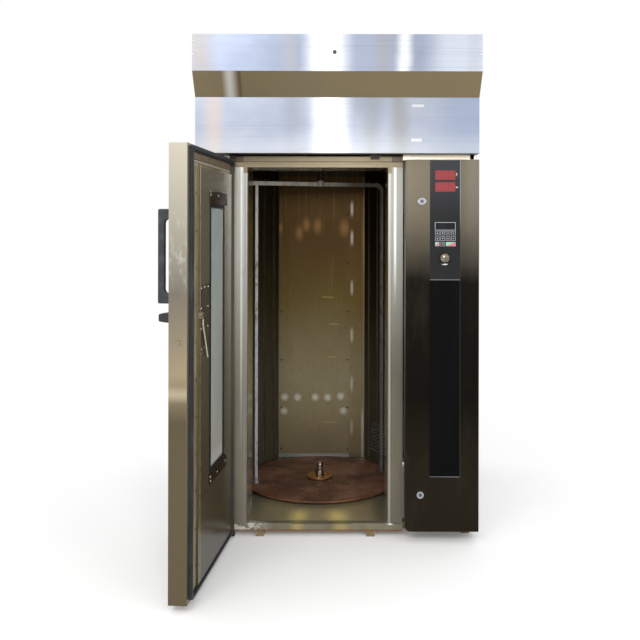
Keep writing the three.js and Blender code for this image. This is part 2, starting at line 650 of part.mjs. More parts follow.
const fitOut = stripOut - GAP;
const FIELD_W = 96;
const fieldR = KEY_LEFT + FIELD_W;
const upperTop = STRIP_Z1 - DISPLAY_DROP;
const lowerTop = upperTop - DISPLAY_PITCH;
const textLow = KEY_TOP + TEXT_CLEAR;
add('display_upper', plateY(KEY_LEFT, fieldR, upperTop - DISPLAY_H, upperTop, fitOut, 3), 'red');
add('display_lower', plateY(KEY_LEFT, fieldR, lowerTop - DISPLAY_H, lowerTop, fitOut, 3), 'red');
add('text_display', plateY(KEY_LEFT, fieldR, textLow, textLow + TEXT_H, fitOut, 3), 'lcd');

const KEY_TRAVEL = 0.6;
const KEY_T = 2.2;
const keyBack = fitOut - KEY_TRAVEL;
const KEY_LAYOUT = [
  [1, 1, 1, 1],
  [1, 1, 1, 1],
  [1, 1, 2],
];
KEY_LAYOUT.forEach((row, r) => {
  let column = 0;
  row.forEach((span, k) => {
    const x0 = KEY_LEFT + column * KEY_PITCH;
    const x1 = x0 + KEY_W + (span - 1) * KEY_PITCH;
    const z1 = KEY_TOP - r * KEY_ROW_PITCH;
    add(`key_r${r + 1}_${k + 1}`, plateY(x0, x1, z1 - KEY_H, z1, keyBack, KEY_T), 'key');
    column += span;
  });
});

let dial = cylY(DIAL_X, fitOut - 0.5, stripOut - 22, DIAL_Z, SWITCH_R, 40, SWITCH_R - 2);
dial = dial.subtract(box(DIAL_X - 3, DIAL_X + 3, stripOut - 17, stripOut - 40, DIAL_Z - 17, DIAL_Z + 17));
dial = dial.add(cylY(DIAL_X, stripOut - 8, ahead(PANEL_PROUD - COVER_T - 14), DIAL_Z, 8, 24));
add('mode_switch', dial, 'dull');

// ---- rotating carrier -----------------------------------------------------------------------------
const discTop = DISC_Z + DISC_T;
let disc = cylZ(AXIS_X, AXIS_Y, DISC_Z, discTop, DISC_R, 72);
const RIM_W = 5;
const RIM_H = 4;
const rimRing = cylZ(AXIS_X, AXIS_Y, DISC_Z - RIM_H, DISC_Z + 1, DISC_R, 72)
  .subtract(cylZ(AXIS_X, AXIS_Y, DISC_Z - 20, DISC_Z + 4, DISC_R - RIM_W, 72));
disc = disc.add(rimRing);
disc = disc.subtract(cylZ(AXIS_X, AXIS_Y, DISC_Z - 20, discTop + 9, PIN_SPIGOT_R + GAP, 32));
add('turntable', disc, 'rust');

const FLANGE_R = 73;
const FLANGE_T = 12;
const flangeLow = discTop + GAP;
let flange = cylZ(AXIS_X, AXIS_Y, flangeLow, flangeLow + FLANGE_T, FLANGE_R, 48, FLANGE_R - 2);
flange = flange.subtract(cylZ(AXIS_X, AXIS_Y, flangeLow - 9, flangeLow + 40, PIN_SPIGOT_R + GAP, 32));
for (let i = 0; i < 4; i += 1) {
  const a = (i + 0.35) * (Math.PI / 2);
  const bx = AXIS_X + Math.cos(a) * 54;
  const by = AXIS_Y + Math.sin(a) * 54;
  flange = flange.add(cylZ(bx, by, flangeLow + 4, flangeLow + FLANGE_T + 6, 9, 6));
}
add('hub_flange', flange, 'hub');

const flangeTop = flangeLow + FLANGE_T + GAP;
let pin = cylZ(AXIS_X, AXIS_Y, floorTop + 1, flangeTop + 1, PIN_SPIGOT_R, 32);
pin = pin.add(cylZ(AXIS_X, AXIS_Y, flangeTop, flangeTop + 30, 26, 32, 24));
pin = pin.add(cylZ(AXIS_X, AXIS_Y, flangeTop + 29, flangeTop + 62, 20, 24, 19));
const dome = new THREE.SphereGeometry(19, 24, 8);
dome.rotateX(Math.PI / 2);
dome.scale(1, 1, 0.6);
dome.translate(AXIS_X, AXIS_Y, flangeTop + 62);
pin = pin.add(toSolid(dome));
add('centre_pin', pin, 'chrome');

// portal standing on the turntable, turned about the axis
const turned = (solid) => solid
  .translate([-AXIS_X, -AXIS_Y, 0])
  .rotate([0, 0, GATE_TURN])
  .translate([AXIS_X, AXIS_Y, 0]);
const half = GATE_TUBE / 2;
const GATE_LOW = discTop + GAP;
const HUB_LUG = 20;
const BAR_H = 22;
const BAR_END = 36;
const gateBar = (x0, x1, z0, z1) => box(AXIS_X + x0, AXIS_X + x1, AXIS_Y - half, AXIS_Y + half, z0, z1);
let gate = gateBar(-GATE_R - half, half - GATE_R, GATE_LOW, GATE_TOP - BAR_H + 1);
gate = gate.add(gateBar(GATE_R - half, GATE_R + half, GATE_LOW, GATE_TOP - 30));
gate = gate.add(gateBar(-GATE_R - BAR_END, GATE_R - 20, GATE_TOP - BAR_H, GATE_TOP));
// bent corner at one end, tee at the other
const bendX = AXIS_X + GATE_R + half - 40;
const bendZ = GATE_TOP - 40;
const bend = cylY(bendX, AXIS_Y - half, AXIS_Y + half, bendZ, 40, 40)
  .subtract(cylY(bendX, AXIS_Y - 40, AXIS_Y + 40, bendZ, 40 - BAR_H, 40));
gate = gate.add(bend.intersect(box(bendX, bendX + 60, AXIS_Y - 40, AXIS_Y + 40, bendZ, bendZ + 60)));
for (const s of [-1, 1]) {
  const px = AXIS_X + s * GATE_R;
  gate = gate.add(box(px - 13, px + 13, AXIS_Y - 22, AXIS_Y + 22, GATE_LOW, GATE_LOW + 5));
  gate = gate.add(box(px - 3, px + 3, AXIS_Y - 22, AXIS_Y + 22, GATE_LOW, GATE_LOW + 32));
}
gate = gate.add(cylZ(AXIS_X, AXIS_Y, GATE_TOP - BAR_H - 1, GATE_TOP + 8, HUB_LUG, 32));
add('gate_frame', turned(gate), 'galv');

const shaftLow = GATE_TOP + 8 + GAP;
const MOTOR_LOW = CEILING_Z + SHEET + GAP;
let shaft = cylZ(AXIS_X, AXIS_Y, shaftLow, MOTOR_LOW + 80, SHAFT_R, 32);
const crossLow = CEILING_Z - 36;
shaft = shaft.add(turned(box(AXIS_X - 31, AXIS_X + 31, AXIS_Y - 5, AXIS_Y + 5, crossLow, crossLow + 10)));
shaft = shaft.add(cylZ(AXIS_X, AXIS_Y, shaftLow, shaftLow + 8, HUB_LUG, 32));
add('drive_shaft', shaft, 'dull');

let gearmotor = box(AXIS_X - 110, AXIS_X + 110, AXIS_Y - 90, AXIS_Y + 90, MOTOR_LOW, MOTOR_LOW + 8);
const gearcase = box(AXIS_X - 75, AXIS_X + 75, AXIS_Y - 70, AXIS_Y + 70, MOTOR_LOW + 7, MOTOR_LOW + 110);
gearmotor = gearmotor.add(gearcase);
gearmotor = gearmotor.add(cylX(AXIS_X + 70, AXIS_X + 290, AXIS_Y, MOTOR_LOW + 70, 52, 40));
gearmotor = gearmotor.subtract(cylZ(AXIS_X, AXIS_Y, MOTOR_LOW - 9, MOTOR_LOW + 90, SHAFT_R + GAP, 32));
add('carrier_gearmotor', gearmotor, 'motor');

// ---- circulation fan in the right column ----------------------------------------------------------
const FAN_Y = 300;
const FAN_Z = 1450;
const FAN_R = 150;
const FAN_X = AXIS_X + CHAMBER_SIDE + 30;
let fan = cylX(FAN_X + 76, FAN_X + 80, FAN_Y, FAN_Z, FAN_R, 36);
const eye = cylX(FAN_X, FAN_X + 4, FAN_Y, FAN_Z, FAN_R, 36)
  .subtract(cylX(FAN_X - 9, FAN_X + 9, FAN_Y, FAN_Z, 95, 36));
fan = fan.add(eye);
fan = fan.add(cylX(FAN_X + 30, FAN_X + 100, FAN_Y, FAN_Z, 22, 24));
const BLADES = 12;
for (let i = 0; i < BLADES; i += 1) {
  const blade = new THREE.BoxGeometry(78, 3, 46);
  blade.rotateX(0.6);
  blade.translate(0, 0, FAN_R - 32);
  blade.rotateX((i * 2 * Math.PI) / BLADES);
  blade.translate(FAN_X + 40, FAN_Y, FAN_Z);
  fan = fan.add(toSolid(blade));
}
add('circulation_fan', fan, 'galv');
const PAD_HALF = 110;
let fanMotor = cylX(FAN_X + 112, innerX - 6, FAN_Y, FAN_Z, 72, 40);
const padY = FAN_Y - PAD_HALF;
const padZ = FAN_Z - PAD_HALF;
fanMotor = fanMotor.add(box(innerX - 8, innerX, padY, padY + 2 * PAD_HALF, padZ, padZ + 2 * PAD_HALF));
fanMotor = fanMotor.add(cylX(FAN_X + 100 + GAP, FAN_X + 114, FAN_Y, FAN_Z, 12, 24));
add('fan_motor', fanMotor, 'motor');

// ---- hinge pivots -----------------------------------------------------------------------------------
const pivot = (z0, z1, p0, p1) => box(HINGE_X - 16, HINGE_X + 12, ahead(GAP), HINGE_Y - 12, z0, z1)
  .add(cylZ(HINGE_X, HINGE_Y, p0, p1, HINGE_PIN_R, 24));
add('hinge_lower', pivot(10, DOOR_Z - GAP, DOOR_Z - 2, DOOR_Z + 45), 'black');
add('hinge_upper', pivot(DOOR_TOP + GAP, COLUMN_TOP, DOOR_TOP - 45, DOOR_TOP + 2), 'black');

// ---- door, modelled closed, then swung open about its hinge --------------------------------------------
const doorIn = ahead(DOOR_STANDOFF);
const doorOut = ahead(DOOR_STANDOFF + DOOR_T);
const linerT = 1.7;
const panIn = doorIn - linerT - GAP;
const winL = DOOR_LEFT + WINDOW_FROM;
const winR = winL + WINDOW_W;
const winTop = DOOR_TOP - WINDOW_DROP;
let pan = box(DOOR_LEFT, DOOR_RIGHT, panIn, doorOut, DOOR_Z, DOOR_TOP);
pan = pan.subtract(box(
  DOOR_LEFT + SHEET,
  DOOR_RIGHT - SHEET,
  panIn + 9,
  doorOut + SHEET,
  DOOR_Z + SHEET,
  DOOR_TOP - SHEET,
));
pan = pan.subtract(box(winL, winR, doorOut - 9, doorOut + 9, WINDOW_Z, winTop));
for (const [z0, z1] of [[DOOR_Z + GAP, DOOR_Z + 60], [DOOR_TOP - 60, DOOR_TOP - GAP]]) {
  pan = pan.add(cylZ(HINGE_X, HINGE_Y, z0, z1, HINGE_R, 28));
  pan = pan.add(box(HINGE_X, DOOR_LEFT + 1, panIn - 8, panIn, z0, z1));
  pan = pan.subtract(cylZ(HINGE_X, HINGE_Y, z0 - 9, z1 + 9, HINGE_PIN_R + 0.4, 24));
}
const PLUG_L = DOOR_LEFT + PLUG_IN_L;
const PLUG_R = DOOR_RIGHT - PLUG_IN_R;
const LATCH_X = PLUG_R - LATCH_IN;
const SPINDLE_R = 6;
pan = pan.subtract(cylY(LATCH_X, doorOut - 9, doorOut + 9, LATCH_Z, SPINDLE_R + GAP, 20));
const boltY = ahead(BOLT_AHEAD);
const BOLT_HALF = 10;
const BOLT_HOLE = BOLT_HALF + 0.5;
pan = pan.subtract(box(
  DOOR_RIGHT - 9,
  DOOR_RIGHT + 9,
  boltY - BOLT_HOLE,
  boltY + BOLT_HOLE,
  BOLT_Z - BOLT_HOLE,
  BOLT_Z + BOLT_HOLE,
));
add('door_pan', pan, 'steel', doorGroup);

const PLUG_Z0 = DOOR_Z + PLUG_IN_LOW;
const PLUG_Z1 = DOOR_TOP - PLUG_IN_TOP;
const plugIn = doorIn + PLUG_RAISE;
const WELL = 10;
let liner = box(DOOR_LEFT, DOOR_RIGHT, doorIn - linerT, doorIn, DOOR_Z, DOOR_TOP);
liner = liner.add(box(PLUG_L, PLUG_R, doorIn - 1, plugIn, PLUG_Z0, PLUG_Z1));
liner = liner.subtract(box(
  PLUG_L + SHEET,
  PLUG_R - SHEET,
  doorIn - 9,
  plugIn - SHEET,
  PLUG_Z0 + SHEET,
  PLUG_Z1 - SHEET,
));
const wellBack = doorOut + SHEET + GAP + 6 + GAP;
const wellOut = WELL + SHEET;
let well = box(winL - wellOut, winR + wellOut, wellBack, plugIn - 1, WINDOW_Z - wellOut, winTop + wellOut);
const wellFront = plugIn - SHEET;
well = well.subtract(box(winL - WELL, winR + WELL, wellBack - 9, wellFront, WINDOW_Z - WELL, winTop + WELL));
liner = liner.add(well);
liner = liner.subtract(box(winL, winR, plugIn - 9, plugIn + 9, WINDOW_Z, winTop));
liner = liner.subtract(cylY(LATCH_X, doorIn - 9, plugIn + 9, LATCH_Z, SPINDLE_R + GAP, 20));
add('door_liner', liner, 'cover', doorGroup);

const PANE_T = 6;
const paneL = winL - WELL + GAP;
const paneR = winR + WELL - GAP;
const paneLow = WINDOW_Z - WELL + GAP;
const paneTop = winTop + WELL - GAP;
const innerPaneY = plugIn - SHEET - GAP;
add('inner_glass', box(paneL, paneR, innerPaneY - PANE_T, innerPaneY, paneLow, paneTop), 'glass', doorGroup);
const outerPaneY = doorOut + SHEET + GAP;
add('outer_glass', box(paneL, paneR, outerPaneY, outerPaneY + PANE_T, paneLow, paneTop), 'glass', doorGroup);

const beadY = plugIn + GAP;
const bead = plateY(winL - 14, winR + 14, WINDOW_Z - 14, winTop + 14, beadY + 4, 4, 4)
  .subtract(box(winL, winR, beadY - 9, beadY + 19, WINDOW_Z, winTop));
add('window_bead', bead, 'black', doorGroup);

function gasketRing(inset, y0, depth, r) {
  const dz = inset - GASKET_IN + GASKET_IN_Z;
  return plateY(DOOR_LEFT + inset, DOOR_RIGHT - inset, DOOR_Z + dz, DOOR_TOP - dz, y0, depth, r);
}
const sealY = doorIn + GAP + GASKET_RISE;
const SEAL_STEP = 4;
let seal = gasketRing(GASKET_IN + SEAL_STEP, sealY, GASKET_RISE, 24 - SEAL_STEP);
seal = seal.add(gasketRing(GASKET_IN, sealY - SEAL_STEP, GASKET_RISE - SEAL_STEP, 24));
seal = seal.subtract(gasketRing(GASKET_IN + GASKET_W, sealY - SEAL_STEP, 60, 8));
seal = seal.subtract(gasketRing(GASKET_IN + GASKET_W - SEAL_STEP, sealY + 20, 20 + SEAL_STEP, 10));
add('door_gasket', seal, 'rubber', doorGroup);

const HANDLE_X = DOOR_RIGHT - HANDLE_IN;
const HANDLE_HALF = 14;
const HANDLE_EDGE = 5;
const HANDLE_CORNER = 7;
const HANDLE_FILLET = 18;
const handleTop = HANDLE_Z + HANDLE_L;
const gripY = doorOut - HANDLE_OUT;
const gripIn = gripY + HANDLE_T;
const legLow = HANDLE_Z + HANDLE_LEG;
const legTop = handleTop - HANDLE_LEG;
const turnIn = gripIn + HANDLE_FILLET;
const turnOut = gripY + HANDLE_CORNER;
const handleSide = [
  [doorOut - GAP, HANDLE_Z],
  [doorOut - GAP, legLow],
  ...arcPoints(turnIn, legLow + HANDLE_FILLET, HANDLE_FILLET, 270, 180, 6),
  ...arcPoints(turnIn, legTop - HANDLE_FILLET, HANDLE_FILLET, 180, 90, 6),
  [doorOut - GAP, legTop],
  [doorOut - GAP, handleTop],
  ...arcPoints(turnOut, handleTop - HANDLE_CORNER, HANDLE_CORNER, 90, 180, 4),
  ...arcPoints(turnOut, HANDLE_Z + HANDLE_CORNER, HANDLE_CORNER, 180, 270, 4),
];
const handle = prismX(handleSide, HANDLE_X - HANDLE_HALF, HANDLE_X + HANDLE_HALF, HANDLE_EDGE);
add('door_handle', handle, 'black', doorGroup);

const SPINDLE_OUT = 46;
const LEVER_EDGE = 8;
const LEVER_FRONT = 20;
const leverZ = LATCH_Z - LEVER_DROP;
const outerY = doorOut - LEVER_OUT + LEVER_EDGE;
// two rounded edges, above and below the lever's middle
const leverEdges = (x0, x1, y, half) =>
  cylX(x0, x1, y, leverZ + half, LEVER_EDGE, 16).add(cylX(x0, x1, y, leverZ - half, LEVER_EDGE, 16));
const leverX = LATCH_X + LEVER_FRONT;
let lever = cylY(LATCH_X, doorOut - GAP, doorOut - 12, LATCH_Z, 26, 32);
lever = lever.add(cylY(LATCH_X, doorOut - 10, doorOut - 36, LATCH_Z, 11, 24));
const grip = leverEdges(LATCH_X - 24, leverX, outerY, 8.3).add(
  leverEdges(LATCH_X - 24, leverX, doorOut - 38, 12.4),
);
lever = lever.add(grip.hull());
const blade = leverEdges(LATCH_X - 26, LATCH_X - 10, outerY + 6, 8.3).add(
  leverEdges(leverX - LEVER_L, leverX - LEVER_L + 8, outerY + 2, 4),
);
lever = lever.add(blade.hull());
lever = lever.subtract(cylY(LATCH_X, doorOut + 5, doorOut - SPINDLE_OUT - 2, LATCH_Z, SPINDLE_R + GAP, 20));
add('latch_lever', lever, 'black', doorGroup);

const releaseY = plugIn + GAP;
let release = cylY(LATCH_X, releaseY, releaseY + 16, LATCH_Z, 15, 28);
release = release.add(cylY(LATCH_X, releaseY + 2, doorOut - SPINDLE_OUT, LATCH_Z, SPINDLE_R, 20));
const rodY = releaseY + 11;
const rodTurn = [LATCH_X - 3, rodY, LATCH_Z - 36];
release = release.add(rod([LATCH_X, rodY, LATCH_Z], rodTurn, 5));
release = release.add(rod(rodTurn, [LATCH_X - 78, rodY, LATCH_Z - 178], 5));
const ball = new THREE.SphereGeometry(5.02, 12, 8);
ball.translate(...rodTurn);
release = release.add(toSolid(ball));
add('latch_release', release, 'chrome', doorGroup);

const bolt = box(
  DOOR_RIGHT - 90,
  DOOR_RIGHT + 3,
  boltY - BOLT_HALF,
  boltY + BOLT_HALF,
  BOLT_Z - BOLT_HALF,
  BOLT_Z + BOLT_HALF,
);
add('latch_bolt', bolt, 'chrome', doorGroup);

const swing = new THREE.Group();
doorGroup.position.set(-HINGE_X, -HINGE_Y, 0);
swing.add(doorGroup);
swing.position.set(HINGE_X, HINGE_Y, 0);
swing.rotation.z = -THREE.MathUtils.degToRad(DOOR_OPEN);
group.add(swing);

export default group;
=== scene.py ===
"""Looks, small fittings and studio for a rotating rack oven.

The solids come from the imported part. This file gives them their finishes, adds the screws, plates, strips and
markings that are too small for the solids, and sets up the floor, lights and camera.
"""

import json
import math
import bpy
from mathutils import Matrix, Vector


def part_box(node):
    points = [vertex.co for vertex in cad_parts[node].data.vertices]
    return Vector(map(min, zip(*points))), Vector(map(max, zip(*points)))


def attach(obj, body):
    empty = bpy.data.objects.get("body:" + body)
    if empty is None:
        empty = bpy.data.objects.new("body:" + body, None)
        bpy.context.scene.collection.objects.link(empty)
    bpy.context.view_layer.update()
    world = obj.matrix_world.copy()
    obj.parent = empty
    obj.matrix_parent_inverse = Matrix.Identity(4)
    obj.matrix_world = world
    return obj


bl_info = {
    "name": "Rotating rack oven",
    "version": (1, 0, 0),
    "blender": (4, 5, 0),
    "location": "3D View > Sidebar > Oven",
    "description": "Dresses the solids of a rotating rack oven and sets up its studio",
    "category": "Object",
}

import bmesh
import bpy
from mathutils import Matrix, Vector

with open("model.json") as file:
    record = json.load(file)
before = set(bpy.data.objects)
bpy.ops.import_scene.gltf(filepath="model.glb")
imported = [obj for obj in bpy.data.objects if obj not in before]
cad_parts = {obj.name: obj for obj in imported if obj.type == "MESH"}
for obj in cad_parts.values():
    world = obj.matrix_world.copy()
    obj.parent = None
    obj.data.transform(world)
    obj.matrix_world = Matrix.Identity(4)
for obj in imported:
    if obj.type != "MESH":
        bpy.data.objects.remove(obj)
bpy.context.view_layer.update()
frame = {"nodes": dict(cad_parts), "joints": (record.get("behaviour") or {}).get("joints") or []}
NODES = frame["nodes"]
JOINTS = {j["name"]: j for j in frame["joints"]}
MM = 0.001

FRONT = -625.0
HINGE = Vector(JOINTS["door_swing"]["pos_m"]) * 1000.0
DOOR_LEFT = -495.0
AXIS = Vector(JOINTS["carrier_spin"]["pos_m"]) * 1000.0

# millimetres ahead of the door frame's face
DOOR_INNER = 12.0
DOOR_OUTER = 87.0
PANEL_PROUD = 90.0
FILM_FRONT = PANEL_PROUD + 1.5
FIELD_FRONT = FILM_FRONT + 3.3
HOOD_FRONT = 178.4

# the door's raised lining
PLUG_RISE = 11.0
PLUG_EDGE = 640.0
PLUG_FOOT = 60.0
PLUG_TOP = 1751.0

# the oven chamber, measured from the carrier's axis
BACK_WALL = 430.0
BOARD_START = (438.0, 112.0)
BOARD_END = (268.0, 430.0)
BOARD_PITCH = 100.0
BOARD_SCREWS = 9

# the control cabinet
DIAL = (510.0, 1359.0)
UPPER_LOCK = (403.0, 1627.5)
LOWER_LOCK = (397.0, 233.5)
STRIP_SIDES = (441.0, 583.0)

# the camera, in pixels of a picture of FRAME_PX
FRAME_PX = 640.0
FOCAL_PX = 823.6
SHIFT_PX = (-16.0, -91.0)
ROLL = -0.12


def ahead(f):
    """y of a plane f millimetres in front of the door frame's face."""
    return FRONT - f


# ---------------------------------------------------------------------------------------------------
# colours and shader maths


def tone(code):
    """A colour written as six hexadecimal digits, turned into scene linear values."""
    parts = [int(code[i : i + 2], 16) / 255.0 for i in (0, 2, 4)]
    flat = [c / 12.92 if c <= 0.04045 else ((c + 0.055) / 1.055) ** 2.4 for c in parts]
    return (*flat, 1.0)


class Term:
    """A number that changes over the surface; arithmetic on it adds Math nodes."""

    def __init__(self, finish, socket):
        self.finish = finish
        self.socket = socket

    def _math(self, operation, *values):
        node = self.finish.node("ShaderNodeMath", {"operation": operation}, *values)
        return Term(self.finish, node.outputs[0])

    def __add__(self, other):
        return self._math("ADD", self, other)

    __radd__ = __add__

    def __sub__(self, other):
        return self._math("SUBTRACT", self, other)

    def __rsub__(self, other):
        return self._math("SUBTRACT", other, self)

    def __mul__(self, other):
        return self._math("MULTIPLY", self, other)

    __rmul__ = __mul__

    def __truediv__(self, other):
        return self._math("DIVIDE", self, other)

    def __neg__(self):
        return self._math("MULTIPLY", self, -1.0)

    def __pow__(self, other):
        return self._math("POWER", self, other)

    def __abs__(self):
        return self._math("ABSOLUTE", self)

    def least(self, other):
        return self._math("MINIMUM", self, other)

    def most(self, other):
        return self._math("MAXIMUM", self, other)

    def under(self, other):
        return self._math("LESS_THAN", self, other)

    def clip(self):
        return self.most(0.0).least(1.0)


class Finish:
    """A material under construction: a Principled shader and the nodes that feed it."""

    def __init__(self, name):
        self.material = bpy.data.materials.new(name)
        self.material.use_nodes = True
        self.tree = self.material.node_tree
        self.tree.nodes.clear()
        self.shader = self.node("ShaderNodeBsdfPrincipled")
        out = self.node("ShaderNodeOutputMaterial")
        self.tree.links.new(self.shader.outputs[0], out.inputs["Surface"])
        self.spot = None

    def node(self, kind, settings=None, *values, **named):
        node = self.tree.nodes.new(kind)
        for key, value in (settings or {}).items():
            if key == "stops":
                ramp = node.color_ramp
                while len(ramp.elements) < len(value):
                    ramp.elements.new(0.5)
                for element, (at, colour) in zip(ramp.elements, value):
                    element.position = at
                    element.color = colour
            else:
                setattr(node, key, value)
        for index, value in enumerate(values):
            self.feed(node.inputs[index], value)
        for key, value in named.items():
            self.feed(node.inputs[key.replace("_", " ")], value)
        return node

    def feed(self, socket, value):
        if value is None:
            return
        if isinstance(value, Term):
            value = value.socket
        if isinstance(value, bpy.types.NodeSocket):
            self.tree.links.new(value, socket)
        else:
            socket.default_value = value

    def place(self):
        """x, y and z of the surface in millimetres."""
        if self.spot is None:
            where = self.node("ShaderNodeTexCoord").outputs["Object"]
            parts = self.node("ShaderNodeSeparateXYZ", None, where).outputs
            self.spot = [Term(self, s) * 1000.0 for s in parts]
        return self.spot

    def noise(self, stretch=(1, 1, 1), scale=1.0, detail=4.0, rough=0.6):
        """Fractal noise between 0 and 1; stretch is cells per metre along each axis."""
        where = self.node("ShaderNodeTexCoord").outputs["Object"]
        mapped = self.node("ShaderNodeMapping", None, where)
        mapped.inputs["Scale"].default_value = stretch
        grain = self.node("ShaderNodeTexNoise", None, Vector=mapped.outputs[0], Scale=scale, Detail=detail)
        grain.inputs["Roughness"].default_value = rough
        return Term(self, grain.outputs["Fac"])

    def cells(self, stretch=(1, 1, 1), scale=1.0):
        """Distance to the nearest of many scattered points."""
        where = self.node("ShaderNodeTexCoord").outputs["Object"]
        mapped = self.node("ShaderNodeMapping", None, where)
        mapped.inputs["Scale"].default_value = stretch
        cell = self.node("ShaderNodeTexVoronoi", None, Vector=mapped.outputs[0], Scale=scale)
        return Term(self, cell.outputs["Distance"])

    def step(self, value, low, high):
        """0 below low, 1 above high, smooth between."""
        kind = {"interpolation_type": "SMOOTHSTEP"}
        node = self.node("ShaderNodeMapRange", kind, value, low, high, 0.0, 1.0)
        return Term(self, node.outputs[0])

    def bell(self, value, centre, width):
        """1 at centre, falling to 0 at width on both sides."""
        return self.step(abs(value - centre), width, 0.0)

    def ramp(self, factor, stops):
        node = self.node("ShaderNodeValToRGB", {"stops": stops}, factor)
        return node.outputs[0]

    def mix(self, factor, a, b, way="MIX"):
        node = self.node("ShaderNodeMix", {"data_type": "RGBA", "blend_type": way, "clamp_factor": True})
        self.feed(node.inputs[0], factor)
        self.feed(node.inputs[6], a)
        self.feed(node.inputs[7], b)
        return node.outputs[2]

    def over(self, factor, base, code):
        """One more colour laid over the base as far as the factor goes."""
        return self.mix(factor, base, tone(code))

    def duo(self, value, low, high, first, second):
        """The first colour where value is below low, the second above high."""
        return self.mix(self.step(value, low, high), tone(first), tone(second))

    def bands(self, base, along, *rows):
        """Soft bands over the base; each row is centre, half width, strength and colour."""
        for centre, width, strength, code in rows:
            band = self.bell(along, centre, width)
            if strength != 1.0:
                band = band * strength
            base = self.over(band, base, code)
        return base

    def bump(self, height, strength=0.2, distance=0.001):
        node = self.node("ShaderNodeBump", None, Height=height)
        node.inputs["Strength"].default_value = strength
        node.inputs["Distance"].default_value = distance
        return node.outputs[0]

    def done(self, base, rough=0.4, metal=0.0, normal=None, **fixed):
        """Feeds the shader and gives back the material."""
        self.feed(self.shader.inputs["Base Color"], base)
        self.feed(self.shader.inputs["Roughness"], rough)
        self.feed(self.shader.inputs["Metallic"], metal)
        self.feed(self.shader.inputs["Normal"], normal)
        for key, value in fixed.items():
            self.feed(self.shader.inputs[key.replace("_", " ")], value)
        return self.material


def brushed(name, light, dark, along="z", metal=0.85, rough=0.34, smudge=0.25, extra=None):
    """Brushed sheet: fine grain along one axis, slow clouding, fingerprints in the gloss."""
    f = Finish(name)
    fine = {"x": (6, 900, 900), "y": (900, 6, 900), "z": (900, 900, 6)}[along]
    grain = f.noise(fine, 1.0, 3.0)
    cloud = f.noise((3, 3, 1.6), 1.0, 5.0)
    mark = f.noise((14, 14, 9), 1.0, 6.0, 0.7)
    base = f.mix(f.step(cloud, 0.3, 0.7), tone(dark), tone(light))
    base = f.mix(grain * 0.22, base, tone("ffffff"), "SOFT_LIGHT")
    base = f.mix(f.step(mark, 0.52, 0.75) * smudge, base, tone(dark))
    if extra:
        base = extra(f, base)
    gloss = rough + (grain - 0.5) * 0.16 + f.step(mark, 0.45, 0.7) * 0.12
    return f.done(base, gloss, metal, f.bump(grain, 0.08, 0.0004))


# ---------------------------------------------------------------------------------------------------
# meshes


def swing(point):
    """A point of the closed door, taken to where the open door has it."""
    angle = -math.radians(bpy.context.scene.oven_sizes.door_open)
    p = Vector(point) - HINGE
    turned = Vector(
        (p.x * math.cos(angle) - p.y * math.sin(angle), p.x * math.sin(angle) + p.y * math.cos(angle), p.z)
    )
    return turned + HINGE


def block(bm, x0, x1, y0, y1, z0, z1, edge=0.0):
    """A box between two corners, its edges rounded off by edge."""
    made = bmesh.ops.create_cube(bm, size=1.0)["verts"]
    for v in made:
        v.co.x = x0 + (v.co.x + 0.5) * (x1 - x0)
        v.co.y = min(y0, y1) + (v.co.y + 0.5) * abs(y1 - y0)
        v.co.z = z0 + (v.co.z + 0.5) * (z1 - z0)
    if edge:
        edges = list(dict.fromkeys(e for v in made for e in v.link_edges))
        bmesh.ops.bevel(bm, geom=edges, offset=edge, segments=2, affect="EDGES", profile=0.5)


def outline_ring(bm, x0, x1, z0, z1, width, y0, y1):
    """A flat rectangular frame of four bars."""
    block(bm, x0, x1, y0, y1, z1 - width, z1)
    block(bm, x0, x1, y0, y1, z0, z0 + width)
    block(bm, x0, x0 + width, y0, y1, z0 + width, z1 - width)
    block(bm, x1 - width, x1, y0, y1, z0 + width, z1 - width)


def slab(bm, points, y0, y1):
    """A flat plate whose outline is given as (x, z) points, thick from y0 to y1."""
    lo, hi = min(y0, y1), max(y0, y1)
    near = [bm.verts.new((x, lo, z)) for x, z in points]
    far = [bm.verts.new((x, hi, z)) for x, z in points]
    count = len(points)
    bm.faces.new(near)
    bm.faces.new(list(reversed(far)))
    for i in range(count):
        bm.faces.new((near[i], far[i], far[(i + 1) % count], near[(i + 1) % count]))


def piece(name, bm, material, body, on_door=False, smooth=False):
    """A scene object from a mesh drawn in millimetres; on_door swings it to the open door."""
    if on_door:
        for v in bm.verts:
            v.co = swing(v.co)
    for v in bm.verts:
        v.co *= MM
    bmesh.ops.recalc_face_normals(bm, faces=bm.faces)
    mesh = bpy.data.meshes.new(name)
    bm.to_mesh(mesh)
    bm.free()
    for face in mesh.polygons:
        face.use_smooth = smooth
    mesh.materials.append(material)
    obj = bpy.data.objects.new(name.replace(" ", "_"), mesh)
    bpy.context.scene.collection.objects.link(obj)
    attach(obj, body)
    return obj


def dress(material, *names):
    """Gives the named solids of the part one finish."""
    for name in names:
        mesh = NODES[name].data
        mesh.materials.clear()
        mesh.materials.append(material)


